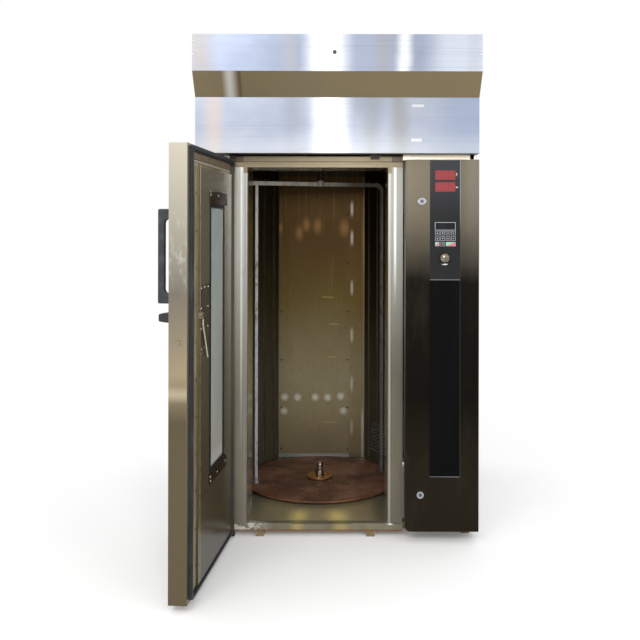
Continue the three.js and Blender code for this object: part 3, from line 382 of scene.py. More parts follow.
def head_tree(sides, rings):
    """Node tree that sets a domed screw head on every point, facing the way stored on the point."""
    tree = bpy.data.node_groups.new("screw heads", "GeometryNodeTree")
    face = tree.interface
    face.new_socket("Points", in_out="INPUT", socket_type="NodeSocketGeometry")
    radius = face.new_socket("Head radius", in_out="INPUT", socket_type="NodeSocketFloat")
    rise = face.new_socket("Head rise", in_out="INPUT", socket_type="NodeSocketFloat")
    stuff = face.new_socket("Head finish", in_out="INPUT", socket_type="NodeSocketMaterial")
    face.new_socket("Heads", in_out="OUTPUT", socket_type="NodeSocketGeometry")
    n = tree.nodes
    link = tree.links.new
    given = n.new("NodeGroupInput")
    made = n.new("NodeGroupOutput")
    ball = n.new("GeometryNodeMeshUVSphere")
    ball.inputs["Segments"].default_value = sides
    ball.inputs["Rings"].default_value = rings
    link(given.outputs["Head radius"], ball.inputs["Radius"])
    squash = n.new("GeometryNodeTransform")
    factor = n.new("ShaderNodeCombineXYZ")
    factor.inputs[0].default_value = 1.0
    factor.inputs[1].default_value = 1.0
    link(given.outputs["Head rise"], factor.inputs[2])
    link(ball.outputs["Mesh"], squash.inputs["Geometry"])
    link(factor.outputs[0], squash.inputs["Scale"])
    facing = n.new("GeometryNodeInputNamedAttribute")
    facing.data_type = "FLOAT_VECTOR"
    facing.inputs["Name"].default_value = "facing"
    turn = n.new("FunctionNodeAlignRotationToVector")
    turn.axis = "Z"
    link(facing.outputs["Attribute"], turn.inputs["Vector"])
    put = n.new("GeometryNodeInstanceOnPoints")
    link(given.outputs["Points"], put.inputs["Points"])
    link(squash.outputs[0], put.inputs["Instance"])
    link(turn.outputs["Rotation"], put.inputs["Rotation"])
    real = n.new("GeometryNodeRealizeInstances")
    link(put.outputs[0], real.inputs[0])
    paint = n.new("GeometryNodeSetMaterial")
    link(real.outputs[0], paint.inputs["Geometry"])
    link(given.outputs["Head finish"], paint.inputs["Material"])
    link(paint.outputs[0], made.inputs[0])
    return tree, {"radius": radius.identifier, "rise": rise.identifier, "finish": stuff.identifier}


def screw_heads(name, spots, material, body, radius=4.0, rise=0.45, on_door=False, fine=False):
    """spots: list of (point, direction) in millimetres."""
    mesh = bpy.data.meshes.new(name + " points")
    places = [swing(p) if on_door else Vector(p) for p, _ in spots]
    ways = []
    for _, d in spots:
        ways.append(swing(Vector(d) + HINGE) - HINGE if on_door else Vector(d))
    mesh.from_pydata([p * MM for p in places], [], [])
    store = mesh.attributes.new("facing", "FLOAT_VECTOR", "POINT")
    for i, way in enumerate(ways):
        store.data[i].vector = way
    carrier = bpy.data.objects.new(name + " points", mesh)
    bpy.context.scene.collection.objects.link(carrier)
    tree, sockets = head_tree(20 if fine else 12, 10 if fine else 7)
    rows = carrier.modifiers.new("rows", "NODES")
    rows.node_group = tree
    rows[sockets["radius"]] = radius * MM
    rows[sockets["rise"]] = rise
    rows[sockets["finish"]] = material
    graph = bpy.context.evaluated_depsgraph_get()
    solid = bpy.data.meshes.new_from_object(carrier.evaluated_get(graph))
    bpy.data.objects.remove(carrier)
    solid.name = name
    for face in solid.polygons:
        face.use_smooth = True
    obj = bpy.data.objects.new(name.replace(" ", "_"), solid)
    bpy.context.scene.collection.objects.link(obj)
    if not solid.materials:
        solid.materials.append(material)
    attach(obj, body)
    return obj


def rod(bm, a, b, radius, sides=16):
    """A round bar from point a to point b."""
    a, b = Vector(a), Vector(b)
    turn = (b - a).to_track_quat("Z", "Y").to_matrix().to_4x4()
    where = Matrix.Translation((a + b) / 2) @ turn
    bmesh.ops.create_cone(
        bm, cap_ends=True, segments=sides, radius1=radius, radius2=radius, depth=(b - a).length, matrix=where
    )


# ---------------------------------------------------------------------------------------------------
# settings


class OvenSizes(bpy.types.PropertyGroup):
    """Sizes that can be set before the pieces are made."""

    door_open: bpy.props.FloatProperty(
        name="Door opening", description="Angle of the open door in degrees", default=95.5, min=0.0, max=104.0
    )
    screw_radius: bpy.props.FloatProperty(
        name="Screw head radius", description="Radius of the small screw heads in mm", default=4.2, min=1.0
    )
    rivet_radius: bpy.props.FloatProperty(
        name="Rivet radius", description="Radius of the door rivets in mm", default=4.0, min=1.0
    )
    camera_distance: bpy.props.FloatProperty(
        name="Camera distance", description="From the lens to the door frame", default=4.0, unit="LENGTH"
    )
    camera_height: bpy.props.FloatProperty(
        name="Camera height", description="Height of the lens above the floor", default=1.495, unit="LENGTH"
    )


class OvenColours(bpy.types.PropertyGroup):
    """Colours of the number displays, which carry a painted glow, and of the printed parts of the controls."""

    display: bpy.props.FloatVectorProperty(
        name="Number display", description="Colour of the number displays, which carry a painted glow", subtype="COLOR", size=4,
        min=0.0, max=1.0, default=tone("7a1b1d"),
    )
    key_start: bpy.props.FloatVectorProperty(
        name="Start marking", description="Colour of the start half of a key", subtype="COLOR", size=4,
        min=0.0, max=1.0, default=tone("6fb59a"),
    )
    key_stop: bpy.props.FloatVectorProperty(
        name="Stop marking", description="Colour of the stop half of a key", subtype="COLOR", size=4,
        min=0.0, max=1.0, default=tone("c9444f"),
    )


# ---------------------------------------------------------------------------------------------------
# cabinet, hood and door frame


class OVEN_OT_hood(bpy.types.Operator):
    """Finish the canopy, its slanted underside and the lower band"""

    bl_idname = "oven.hood"
    bl_label = "Hood"

    def execute(self, context):
        f = Finish("canopy steel")
        x, y, z = f.place()
        grain = f.noise((2.5, 700, 700), 1.0, 3.0)
        cloud = f.noise((2.2, 2.2, 3.0), 1.0, 4.0)
        base = f.duo(cloud, 0.25, 0.75, "858ea2", "9aa2b6")
        # Painted reflections: the soft white, grey and pale blue bands across x and the darker ends are
        # reflections of the room laid into the canopy's colour.
        sway = x + (cloud - 0.5) * 60.0
        base = f.bands(
            base, sway, (-45.0, 150.0, 1.0, "ffffff"), (-225.0, 60.0, 0.55, "9a9b98"),
            (225.0, 70.0, 0.6, "9b9c9c"), (318.0, 50.0, 0.9, "eeeeee"),
        )
        base = f.over(f.step(sway, 380.0, 520.0) * 0.75, base, "cdd3de")
        base = f.bands(base, sway, (-640.0, 110.0, 0.8, "948d88"), (640.0, 60.0, 0.35, "a4a7ae"))
        streak = f.noise((1.2, 150, 170), 1.0, 3.0, 0.7)
        base = f.over(grain * 0.10, base, "8d93a0")
        base = f.over(f.step(streak, 0.48, 0.75) * 0.28, base, "7d8594")
        slant = f.step(z, 2229.5, 2227.0) * f.step(z, 2119.0, 2121.0) * f.step(y, -710.0, -713.0)
        olive = f.mix(f.step(f.noise((3, 3, 3), 1.0), 0.3, 0.7), tone("766a51"), tone("7b6d50"))
        olive = f.bands(olive, x, (-505.0, 42.0, 0.75, "ccccc8"), (-458.0, 14.0, 0.7, "4b4435"))
        base = f.mix(slant, base, olive)
        rough = 0.36 + (grain - 0.5) * 0.12
        made = f.done(base, rough, 0.55, f.bump(grain, 0.05, 0.0003))
        dress(made, "canopy_hood")

        f = Finish("lower band steel")
        x, y, z = f.place()
        grain = f.noise((2.5, 700, 700), 1.0, 3.0)
        cloud = f.noise((2.0, 2.0, 2.6), 1.0, 4.0)
        base = f.duo(cloud, 0.25, 0.75, "8d95a6", "a5aab8")
        # Painted reflections: the bands across x, the pale blue right end, the warm patch at the left and the
        # lighter lower edge are reflections laid into the band's colour.
        sway = x + (cloud - 0.5) * 60.0
        base = f.bands(
            base, sway, (-35.0, 125.0, 1.0, "ffffff"), (-215.0, 75.0, 0.45, "83888d"),
            (165.0, 80.0, 0.85, "8e9298"), (300.0, 75.0, 0.8, "8c8d8c"),
        )
        base = f.over(f.step(sway, 380.0, 620.0) * 0.45, base, "7088a7")
        base = f.over(f.bell(sway, -590.0, 75.0) * 0.6, base, "b9a698")
        base = f.over(f.step(z, 1990.0, 1860.0) * 0.25, base, "dcdcda")
        streak = f.noise((1.2, 150, 170), 1.0, 3.0, 0.7)
        base = f.over(grain * 0.10, base, "8d93a0")
        base = f.over(f.step(streak, 0.48, 0.75) * 0.28, base, "7d8594")
        ragged = f.noise((60, 60, 60), 1.0, 3.0) * 6.0
        for cx, cz, wide, tall in ((384.0, 2081.0, 32.0, 8.0), (376.0, 1918.0, 28.0, 9.0)):
            mark = (abs(x - cx) + ragged).under(wide) * (abs(z - cz) + ragged * 0.6).under(tall)
            base = f.over(mark * 0.6, base, "dddcd8")
        # Painted shade: the band's downward-facing underside is darkened.
        under = f.step(z, 1857.0, 1855.0)
        base = f.over(under, base, "3c3a36")
        made = f.done(base, 0.36 + (grain - 0.5) * 0.12, 0.55, f.bump(grain, 0.05, 0.0003))
        dress(made, "hood_lower_band")

        dark = Finish("dark plug")
        speck = dark.noise((300, 300, 300), 1.0)
        plug = dark.done(dark.mix(speck, tone("34383c"), tone("596069")), 0.35, 0.6)
        plug_spot = ((-13.0, ahead(HOOD_FRONT + 0.1), 2316.0), (0, -1, 0))
        screw_heads("hood plug", [plug_spot], plug, "oven_body", 9.5, 0.6, fine=True)
        zinc = brushed("zinc screw", "e2e2e0", "a9a9a6", metal=0.8, rough=0.3)
        spots = []
        for z in (2369.0, 2306.0):
            for x in (-668.0, 668.0):
                spots.append(((x, ahead(HOOD_FRONT), z), (0, -1, 0)))
        screw_heads("hood corner screws", spots, zinc, "oven_body", 6.0)
        return {"FINISHED"}


class OVEN_OT_cabinet(bpy.types.Operator):
    """Finish the door frame, sill, left column and the outer skins"""

    bl_idname = "oven.cabinet"
    bl_label = "Cabinet"

    def flush_rivets(self, f, base):
        """Rows of flush rivet heads on the right and rear sheets, which carry nothing proud."""
        x, y, z = f.place()

        def off_row(value, first, pitch):
            wrap = {"operation": "FLOORED_MODULO"}
            turn = f.node("ShaderNodeMath", wrap, value - (first - pitch / 2), pitch)
            return abs(Term(f, turn.outputs[0]) - pitch / 2)

        up = off_row(z, 120.0, 226.0)
        side = (off_row(y, -560.0, 380.0) ** 2.0 + up ** 2.0) ** 0.5
        rear = (off_row(x, 0.0, 640.0) ** 2.0 + up ** 2.0) ** 0.5
        far = side.most(f.step(y, 623.0, 624.5) * 99.0).least(rear.most(f.step(y, 624.5, 623.0) * 99.0))
        base = f.over(f.step(far, 6.4, 5.6), base, "5d5e5e")
        return f.over(f.step(far, 5.0, 4.2), base, "d4d4d0")

    def execute(self, context):
        f = Finish("frame steel")
        x, y, z = f.place()
        grain = f.noise((900, 900, 4), 1.0, 3.0)
        cloud = f.noise((4, 4, 1.4), 1.0, 5.0)
        mark = f.noise((30, 30, 12), 1.0, 6.0, 0.7)
        high = f.duo(cloud, 0.3, 0.7, "bbbab1", "c0bdb0")
        low = f.duo(cloud, 0.3, 0.7, "7a7465", "8d8671")
        # Painted light and shade: the frame is lighter towards the top, and its right half is darkened.
        base = f.mix(f.step(z, 700.0, 1500.0), low, high)
        base = f.over(f.step(x, -100.0, 100.0) * 0.46, base, "0a0908")
        # Painted highlights and reflections: bright lines down both jambs, a grey-blue band at -447 mm and a
        # pale band at 256 mm.
        left = f.bell(x, -464.0, 9.0) * 0.85 + f.bell(x, -434.0, 5.0) * 0.5
        right = f.bell(x, 282.0, 10.0) * f.step(z, 1080.0, 1420.0)
        shine = (left + right).clip()
        base = f.over(shine * f.step(z, 300.0, 1300.0) * 0.7, base, "f2f4f8")
        base = f.over(f.bell(x, -447.0, 7.0) * 0.6, base, "8b9097")
        base = f.over(f.bell(x, 256.0, 9.0) * 0.35, base, "d8d8d4")
        head = f.step(z, 1792.0, 1796.0)
        base = f.mix(head, base, f.duo(z, 1816.0, 1820.0, "7c7059", "574a3c"))
        corner = f.step(z, 1764.0, 1768.0) * f.step(abs(x + 94.0), 362.0, 358.0)
        base = f.over(corner, base, "7c7059")
        # Painted shadow: a dark line in the gap between the head's two faces.
        base = f.over(f.bell(z, 1821.5, 4.0) * 0.95, base, "2d2822")
        # Painted highlight: the filler above the control cabinet, shaded by the hood, gets a near-white tone
        # and full metal so that it shows bright.
        filler_highlight = f.step(x, 318.0, 322.0) * f.step(z, 1824.0, 1828.0)
        base = f.over(filler_highlight, base, "fff2dc")
        base = f.over(f.step(mark, 0.55, 0.75) * 0.3, base, "857a62")
        made = f.done(base, 0.33 + (grain - 0.5) * 0.15, 0.6 + filler_highlight * 0.4, f.bump(grain, 0.06, 0.0003))
        dress(made, "door_frame")
        f = Finish("switch housing")
        x, y, z = f.place()
        wear = f.noise((200, 200, 200), 1.0, 4.0)
        rim = f.step(abs(x - 184.0), 21.0, 23.0).most(f.step(abs(z - 1841.5), 8.5, 10.0))
        base = f.mix(rim, f.mix(wear, tone("2e211a"), tone("4a382b")), tone("8f8268"))
        dress(f.done(base, 0.45, 0.2), "door_switch")

        f = Finish("sill steel")
        x, y, z = f.place()
        cloud = f.noise((9, 9, 9), 1.0, 6.0, 0.65)
        chips = f.noise((40, 40, 60), 1.0, 6.0, 0.7)
        base = f.duo(cloud, 0.3, 0.7, "6c6552", "7a7461")
        # Painted reflections: two golden patches of light across the sill.
        base = f.over(f.bell(x, -190.0, 50.0) * 0.6, base, "b8a463")
        base = f.over(f.bell(x, 20.0, 60.0) * 0.55, base, "b39f5e")
        scale = f.step(x, -300.0, -420.0) * f.step(chips, 0.42, 0.55)
        base = f.over(scale * 0.8, base, "d6d3c9")
        chipped = f.bell(x, 262.0, 26.0) * f.step(z, 56.0, 62.0) * f.step(chips, 0.35, 0.5)
        base = f.over(chipped, base, "f4f3f0")
        rust = f.step(z + (chips - 0.5) * 14.0, 38.0, 31.0)
        base = f.mix(rust, base, f.duo(chips, 0.4, 0.6, "8a4d22", "5b3a20"))
        gap = f.bell(z, 63.0, 2.0) * f.step(abs(x + 75.0), 150.0, 140.0)
        base = f.over(gap.clip(), base, "26221c")
        made = f.done(base, 0.38 + cloud * 0.3, 0.45, f.bump(chips, 0.35, 0.001))
        dress(made, "door_sill")

        plain = brushed("outer sheet", "a9aaa8", "8b8c8b", along="z", metal=0.7, rough=0.38)
        dress(plain, "left_side_panel", "roof_panel", "exhaust_damper")
        riveted = brushed("riveted sheet", "a9aaa8", "8b8c8b", metal=0.7, rough=0.38, extra=self.flush_rivets)
        dress(riveted, "right_side_panel", "rear_panel")
        dress(brushed("column sheet", "b7b7b2", "96958f", metal=0.7), "left_column")

        f = Finish("weathered base")
        rusty = f.noise((30, 30, 30), 1.0, 6.0, 0.7)
        base = f.duo(rusty, 0.35, 0.65, "9a8e6d", "6b5637")
        dress(f.done(base, 0.6, 0.3, f.bump(rusty, 0.3, 0.001)), "base_frame")

        f = Finish("pivot black")
        wear = f.noise((120, 120, 120), 1.0, 4.0)
        made = f.done(f.duo(wear, 0.5, 0.8, "1d1c1b", "4a4743"), 0.5, 0.4)
        dress(made, "hinge_lower", "hinge_upper")

        zinc = bpy.data.materials["zinc screw"]
        spots = []
        for z in range(120, 2380, 226):
            for y in (-560, -180, 200, 580):
                spots.append(((-675.2, y, z), (-1, 0, 0)))
        screw_heads("side panel screws", spots, zinc, "oven_body", 5.0)
        return {"FINISHED"}


class OVEN_OT_chamber(bpy.types.Operator):
    """Finish the oven chamber and add its screws and formed ribs"""

    bl_idname = "oven.chamber"
    bl_label = "Chamber"

    def heat_tint_and_shade(self, name, warm, cool, dark, metal=0.55, rough=0.32, extra=None):
        """Steel coloured by heat and painted shade: pale at the foot, a warm heat tint in the middle, darker
        under the ceiling, partly heat tint and partly painted shade.
        """
        f = Finish(name)
        x, y, z = f.place()
        grain = f.noise((500, 500, 5), 1.0, 3.0)
        cloud = f.noise((3.2, 3.2, 2.2), 1.0, 5.0)
        fine = f.noise((40, 40, 40), 1.0, 5.0, 0.7)
        drift = z + (cloud - 0.5) * 240.0
        base = f.ramp(
            f.step(drift, 80.0, 1780.0),
            [(0.0, tone(cool)), (0.2, tone(cool)), (0.6, tone(warm)), (0.9, tone(dark))],
        )
        base = f.mix(f.step(fine, 0.5, 0.8) * 0.3, base, tone(dark))
        streak = f.noise((45, 45, 1.2), 1.0, 5.0, 0.7)
        base = f.over(f.step(streak, 0.52, 0.8) * 0.35, base, "8d7c46")
        base = f.mix(f.step(streak, 0.42, 0.2) * 0.45, base, tone(dark))
        if extra:
            base = extra(f, base, x, y, z)
        gloss = rough + (fine - 0.5) * 0.25
        return f.done(base, gloss, metal, f.bump(grain, 0.05, 0.0003), Specular_IOR_Level=0.1)

    def back_marks(self, f, base, x, y, z):
        """Wiped dabs, scratches, a pale bluish band along the foot and painted reflections of light on the back
        wall.
        """
        ragged = f.noise((55, 55, 55), 1.0, 4.0) * 12.0
        dabs = ((-322, 451), (-241, 449), (-132, 450), (-55, 449), (26, 456), (-325, 364), (42, 366))
        mark = 0.0
        for cx, cz in dabs:
            far = ((x - cx) ** 2.0 + (z - cz) ** 2.0) ** 0.5 + ragged
            mark = f.step(far, 38.0, 12.0) + mark
        base = f.over(mark.clip() * 0.72, base, "bdbcb2")
        lines = ((-55.0, 1072.0, 50.0), (-15.0, 904.0, 44.0), (-36.0, 296.0, 52.0), (-30.0, 700.0, 45.0))
        scratch = 0.0
        for cx, cz, half in lines:
            thin = f.step(abs(z - cz + (x - cx) * 0.02), 3.2, 0.8)
            scratch = thin * f.step(abs(x - cx) + ragged, half, half - 18.0) + scratch
        base = f.over(scratch.clip() * 0.6, base, "b5a05f")
        base = f.over(f.step(z, 108.0, 88.0) * 0.7, base, "a9b4bb")
        # Painted reflections: small warm glints of light.
        painted_reflection = 0.0
        reflection_spots = ((-233, 1470, 38), (-188, 1522, 36), (-120, 1512, 40), (48, 1500, 46), (-352, 1500, 26))
        for cx, cz, wide in reflection_spots:
            far = ((x - cx) ** 2.0 + ((z - cz) * 0.55) ** 2.0) ** 0.5
            painted_reflection = f.step(far, wide, 0.0) + painted_reflection
        return f.over(painted_reflection.clip() * 0.38, base, "9c7346")

    def strip_marks(self, f, base, x, y, z):
        """Painted reflections of light spots down the strip, a paler patch low down and its brighter edge."""
        # Painted reflections: six light spots in a column down the strip.
        mark = 0.0
        for cz in (1621, 1439, 1130, 836, 533, 263):
            mark = f.step(abs(x - 94.0), 13.0, 2.0) * f.step(abs(z - cz), 62.0, 12.0) + mark
        edge = f.step(x, 164.0, 170.0)
        base = f.over(mark.clip() * 0.6, base, "b3ad9f")
        pale = f.step(x, 150.0, 158.0) * f.step(z, 420.0, 300.0)
        base = f.over(pale * 0.6, base, "b9b7ae")
        return f.over(edge * 0.6, base, "a3936f")

    def execute(self, context):
        wall = self.heat_tint_and_shade("back wall tint", "5c4d2a", "80765c", "443218", extra=self.back_marks)
        dress(wall, "back_wall_panel")
        strip = self.heat_tint_and_shade("back strip tint", "604e2a", "7a6e55", "463219", extra=self.strip_marks)
        dress(strip, "back_wall_strip")
        dress(self.heat_tint_and_shade("chamber wall tint", "463d2b", "605a4a", "2c2418"), "chamber_liner")
        boards = self.heat_tint_and_shade("air board tint", "54482f", "6c675a", "3c3222", rough=0.4)
        dress(boards, "supply_louver_panel")
        grille = self.heat_tint_and_shade("grille tint", "382e22", "58544a", "2a2018", rough=0.42)
        dress(grille, "return_grille_panel")
        throat = self.heat_tint_and_shade("throat steel", "d4c8a8", "d8d2c0", "8c7a56", metal=0.8, rough=0.14)
        dress(throat, "throat_liner")

        f = Finish("floor plate")
        x, y, z = f.place()
        cloud = f.noise((7, 7, 7), 1.0, 6.0, 0.65)
        fine = f.noise((60, 60, 60), 1.0, 5.0, 0.7)
        base = f.duo(cloud, 0.3, 0.7, "958c72", "a59772")
        # Painted reflections: two golden pools of light on the plate.
        for cx, wide in ((-190.0, 75.0), (10.0, 85.0)):
            painted_reflection = f.bell(x + (cloud - 0.5) * 50.0, cx, wide) * f.bell(y, -520.0, 150.0)
            base = f.over(painted_reflection * 0.85, base, "f6e396")
        base = f.over(f.step(abs(x + 94.0), 250.0, 330.0) * 0.5, base, "54524c")
        base = f.over(f.step(fine, 0.55, 0.75) * 0.4, base, "4b4131")
        dress(f.done(base, 0.25 + fine * 0.3, 0.5, f.bump(fine, 0.15, 0.0006)), "floor_pan")

        f = Finish("rusty screw")
        speck = f.noise((260, 260, 260), 1.0)
        rusty = f.done(f.duo(speck, 0.35, 0.65, "2a1d12", "5f4527"), 0.6, 0.4)
        wall = AXIS.y + BACK_WALL - 1.9
        spots = []
        for z in (1590.0, 1284.0, 982.0, 683.0, 386.0, 130.0):
            spots.append(((-342.0, wall, z), (0, -1, 0)))
            spots.append(((69.0, wall, z), (0, -1, 0)))
        screw_heads("back wall screws", spots, rusty, "oven_body", 6.0)

        rib = brushed("rib steel", "776b52", "4b4335", metal=0.6)
        for side, label in ((-1, "left"), (1, "right")):
            start = Vector((AXIS.x + side * BOARD_START[0], AXIS.y + BOARD_START[1], 0))
            end = Vector((AXIS.x + side * BOARD_END[0], AXIS.y + BOARD_END[1], 0))
            along = (end - start).normalized()
            inward = Vector((along.y, -along.x, 0)) * (1 if side < 0 else -1)
            bm = bmesh.new()
            for k in range(3):
                mid = start + along * (BOARD_PITCH * (k + 1) + 1.0) + inward * 6.4
                box = bmesh.ops.create_cube(bm, size=1.0)["verts"]
                for v in box:
                    local = v.co.copy()
                    v.co = mid + along * (local.x * 6.0) + inward * (local.y * 6.0)
                    v.co.z = 945.0 + local.z * 1690.0
            piece(f"{label} board ribs", bm, rib, "oven_body")
            spots = []
            for column in range(3):
                spot = start + along * (BOARD_PITCH * (column + 0.5)) + inward * 3.2
                for k in range(BOARD_SCREWS):
                    spots.append(((spot.x, spot.y, 224.0 + 187.0 * k), tuple(inward)))
            screw_heads(f"{label} board screws", spots, rusty, "oven_body", 5.0)
        return {"FINISHED"}


class OVEN_OT_carrier(bpy.types.Operator):
    """Finish the turntable, hub, pin, portal frame and drive"""

    bl_idname = "oven.carrier"
    bl_label = "Carrier"

    def execute(self, context):
        f = Finish("burnt turntable")
        x, y, z = f.place()
        broad = f.noise((5, 5, 5), 1.0, 6.0, 0.65)
        fine = f.noise((45, 45, 45), 1.0, 6.0, 0.75)
        pit = f.cells((90, 90, 90), 1.0)
        base = f.ramp(
            f.step(broad + (fine - 0.5) * 0.5, 0.25, 0.75),
            [(0.0, tone("443126")), (0.4, tone("6c4a38")), (0.7, tone("8b624d")), (1.0, tone("a07c68"))],
        )
        far = ((x - AXIS.x) ** 2.0 + (y - AXIS.y) ** 2.0) ** 0.5
        base = f.over(f.step(far, 380.0, 427.0) * 0.4, base, "7a4a30")
        worn = f.step(f.noise((12, 30, 12), 1.0, 6.0, 0.75), 0.6, 0.75)
        base = f.over(worn * 0.55, base, "9a8a74")
        height = fine * 0.7 + pit * 0.3
        dress(f.done(base, 0.42 + fine * 0.35, 0.35, f.bump(height, 0.35, 0.0012)), "turntable")

        f = Finish("scaled hub")
        x, y, z = f.place()
        fine = f.noise((110, 110, 110), 1.0, 6.0, 0.7)
        base = f.duo(fine, 0.35, 0.62, "6b3a19", "a87238")
        base = f.over(f.step(f.noise((70, 70, 70), 1.0), 0.58, 0.66) * 0.8, base, "d3c3a4")
        # Painted shadow: the foot of the hub, where it meets the disc, is darkened.
        base = f.over(f.step(z, 93.0, 88.0), base, "3a2414")
        dress(f.done(base, 0.45, 0.5, f.bump(fine, 0.3, 0.0008)), "hub_flange")

        f = Finish("polished pin")
        x, y, z = f.place()
        fine = f.noise((200, 200, 20), 1.0)
        base = f.duo(fine, 0.3, 0.7, "b5aaa3", "dcdad6")
        base = f.over(f.bell(z, 129.0, 3.0), base, "3b352e")
        base = f.over(f.step(z, 112.0, 98.0) * 0.6, base, "6d5c48")
        dress(f.done(base, 0.16 + fine * 0.1, 1.0), "centre_pin")

        f = Finish("worn portal")
        x, y, z = f.place()
        fine = f.noise((70, 70, 20), 1.0, 6.0, 0.75)
        flake = f.noise((35, 35, 14), 1.0, 6.0, 0.8)
        base = f.duo(fine, 0.3, 0.7, "88857c", "b7b6b0")
        base = f.over(f.step(flake, 0.5, 0.6) * 0.85, base, "5b4a35")
        base = f.over(f.step(z, 1100.0, 900.0) * 0.35, base, "aab1c1")
        base = f.over(f.step(z, 1380.0, 1440.0) * 0.5, base, "c9c4b6")
        base = f.over(f.step(x, -20.0, 120.0) * 0.65, base, "4f4536")
        dress(f.done(base, 0.5, 0.35, f.bump(flake, 0.4, 0.001)), "gate_frame")

        dress(brushed("drive shaft steel", "4e4840", "231f1a", metal=0.7, rough=0.3), "drive_shaft")
        f = Finish("machine paint")
        peel = f.noise((220, 220, 220), 1.0, 3.0)
        dirt = f.noise((18, 18, 18), 1.0, 6.0, 0.7)
        base = f.duo(dirt, 0.45, 0.75, "3f566b", "2c3640")
        dress(f.done(base, 0.45, 0.0, f.bump(peel, 0.1, 0.0005)), "carrier_gearmotor", "fan_motor")
        dress(brushed("fan sheet", "8f9193", "66686a", metal=0.7), "circulation_fan")
        return {"FINISHED"}


# ---------------------------------------------------------------------------------------------------
# door


class OVEN_OT_door(bpy.types.Operator):
    """Finish the door's pan, lining, glass, bead and gasket"""

    bl_idname = "oven.door"
    bl_label = "Door"

    def execute(self, context):
        f = Finish("door steel")
        x, y, z = f.place()
        grain = f.noise((900, 900, 5), 1.0, 3.0)
        cloud = f.noise((7, 7, 2.2), 1.0, 5.0)
        mark = f.noise((26, 26, 12), 1.0, 6.0, 0.75)
        drift = z + (cloud - 0.5) * 80.0
        # Painted reflection and shade: the pan is dark olive at the foot and lighter towards the top, with a
        # pale band at 850 mm.
        base = f.ramp(
            f.step(drift, 30.0, 1830.0),
            [
                (0.0, tone("5a4f38")),
                (0.35, tone("544a35")),
                (0.5, tone("96886c")),
                (0.75, tone("706a5e")),
                (1.0, tone("b0aa9a")),
            ],
        )
        base = f.over(f.bell(z, 850.0, 40.0) * 0.5, base, "c4b69a")
        # Painted shade: the hinge side of the pan is darkened.
        hinged = f.step(y, -745.0, -720.0) * f.step(x, -535.0, -522.0)
        base = f.mix(hinged * 0.95, base, f.duo(z, 400.0, 900.0, "3a3326", "4f483b"))
        base = f.over(f.step(mark, 0.48, 0.68) * f.bell(z, 1400.0, 230.0) * 0.6, base, "c9c7c0")
        made = f.done(base, 0.32 + (grain - 0.5) * 0.16, 0.55, f.bump(grain, 0.06, 0.0003))
        dress(made, "door_pan", "latch_bolt")

        f = Finish("door lining")
        x, y, z = f.place()
        grain = f.noise((700, 700, 5), 1.0, 3.0)
        cloud = f.noise((4, 4, 2.0), 1.0, 5.0)
        drift = z + (cloud - 0.5) * 60.0
        # Painted shade and light: the lining is near black at the foot and lighter towards the top.
        base = f.ramp(
            f.step(drift, 30.0, 1830.0),
            [
                (0.0, tone("2e2412")),
                (0.12, tone("58503c")),
                (0.5, tone("6a6252")),
                (1.0, tone("8e8674")),
            ],
        )
        base = f.over(f.bell(z, 1700.0, 26.0) * 0.4, base, "8a8478")
        base = f.over(f.step(y, -1240.0, -1320.0) * 0.35, base, "8c7d5a")
        base = f.over(grain * 0.12, base, "9b917c")
        gloss = 0.24 + (grain - 0.5) * 0.12
        made = f.done(base, gloss, 0.6, f.bump(grain, 0.04, 0.0003), Specular_IOR_Level=0.05)
        dress(made, "door_liner")

        f = Finish("greasy glass")
        x, y, z = f.place()
        film = f.noise((6, 6, 3), 1.0, 5.0)
        speck = f.noise((70, 70, 70), 1.0, 4.0)
        base = f.duo(z, 420.0, 1600.0, "a9aaa1", "aab4b1")
        base = f.over(f.step(film, 0.35, 0.7) * 0.5, base, "8f9a97")
        base = f.over(f.step(z, 560.0, 470.0) * 0.7, base, "c6c6c2")
        base = f.over(f.step(speck, 0.6, 0.8) * 0.2, base, "7f857f")
        made = f.done(base, 0.12 + film * 0.2, 0.0, Coat_Weight=0.4)
        dress(made, "inner_glass", "outer_glass")

        f = Finish("black bead")
        wear = f.noise((90, 90, 30), 1.0, 5.0)
        made = f.done(f.duo(wear, 0.55, 0.8, "14120f", "332b22"), 0.45, 0.2)
        dress(made, "window_bead")

        f = Finish("bulb rubber")
        dust = f.noise((40, 40, 8), 1.0, 5.0)
        fold = f.noise((25, 25, 140), 1.0, 2.0)
        x, y, z = f.place()
        base = f.duo(dust, 0.45, 0.8, "14161a", "2d3238")
        # On the hinge side, below the top run, the black rubber is toned olive like the lining beside it:
        # partly dust, partly painted sheen.
        hinged = f.step(y, -720.0, -690.0) * f.step(z, 1796.0, 1784.0)
        base = f.mix(hinged * 0.9, base, f.duo(z, 400.0, 900.0, "3a3429", "4f483b"))
        dress(f.done(base, 0.5 + dust * 0.2, 0.0, f.bump(fold, 0.1, 0.001)), "door_gasket")

        f = Finish("grip plastic")
        grain = f.noise((400, 400, 400), 1.0, 2.0)
        base = f.mix(f.step(f.noise((20, 20, 20), 1.0), 0.4, 0.8), tone("1f2124"), tone("3b3e42"))
        dress(f.done(base, 0.42, 0.0, f.bump(grain, 0.12, 0.0004)), "door_handle", "latch_lever")
        polish = brushed("polished rod", "ded8c8", "9c9480", metal=0.9, rough=0.2)
        dress(polish, "latch_release")
        return {"FINISHED"}


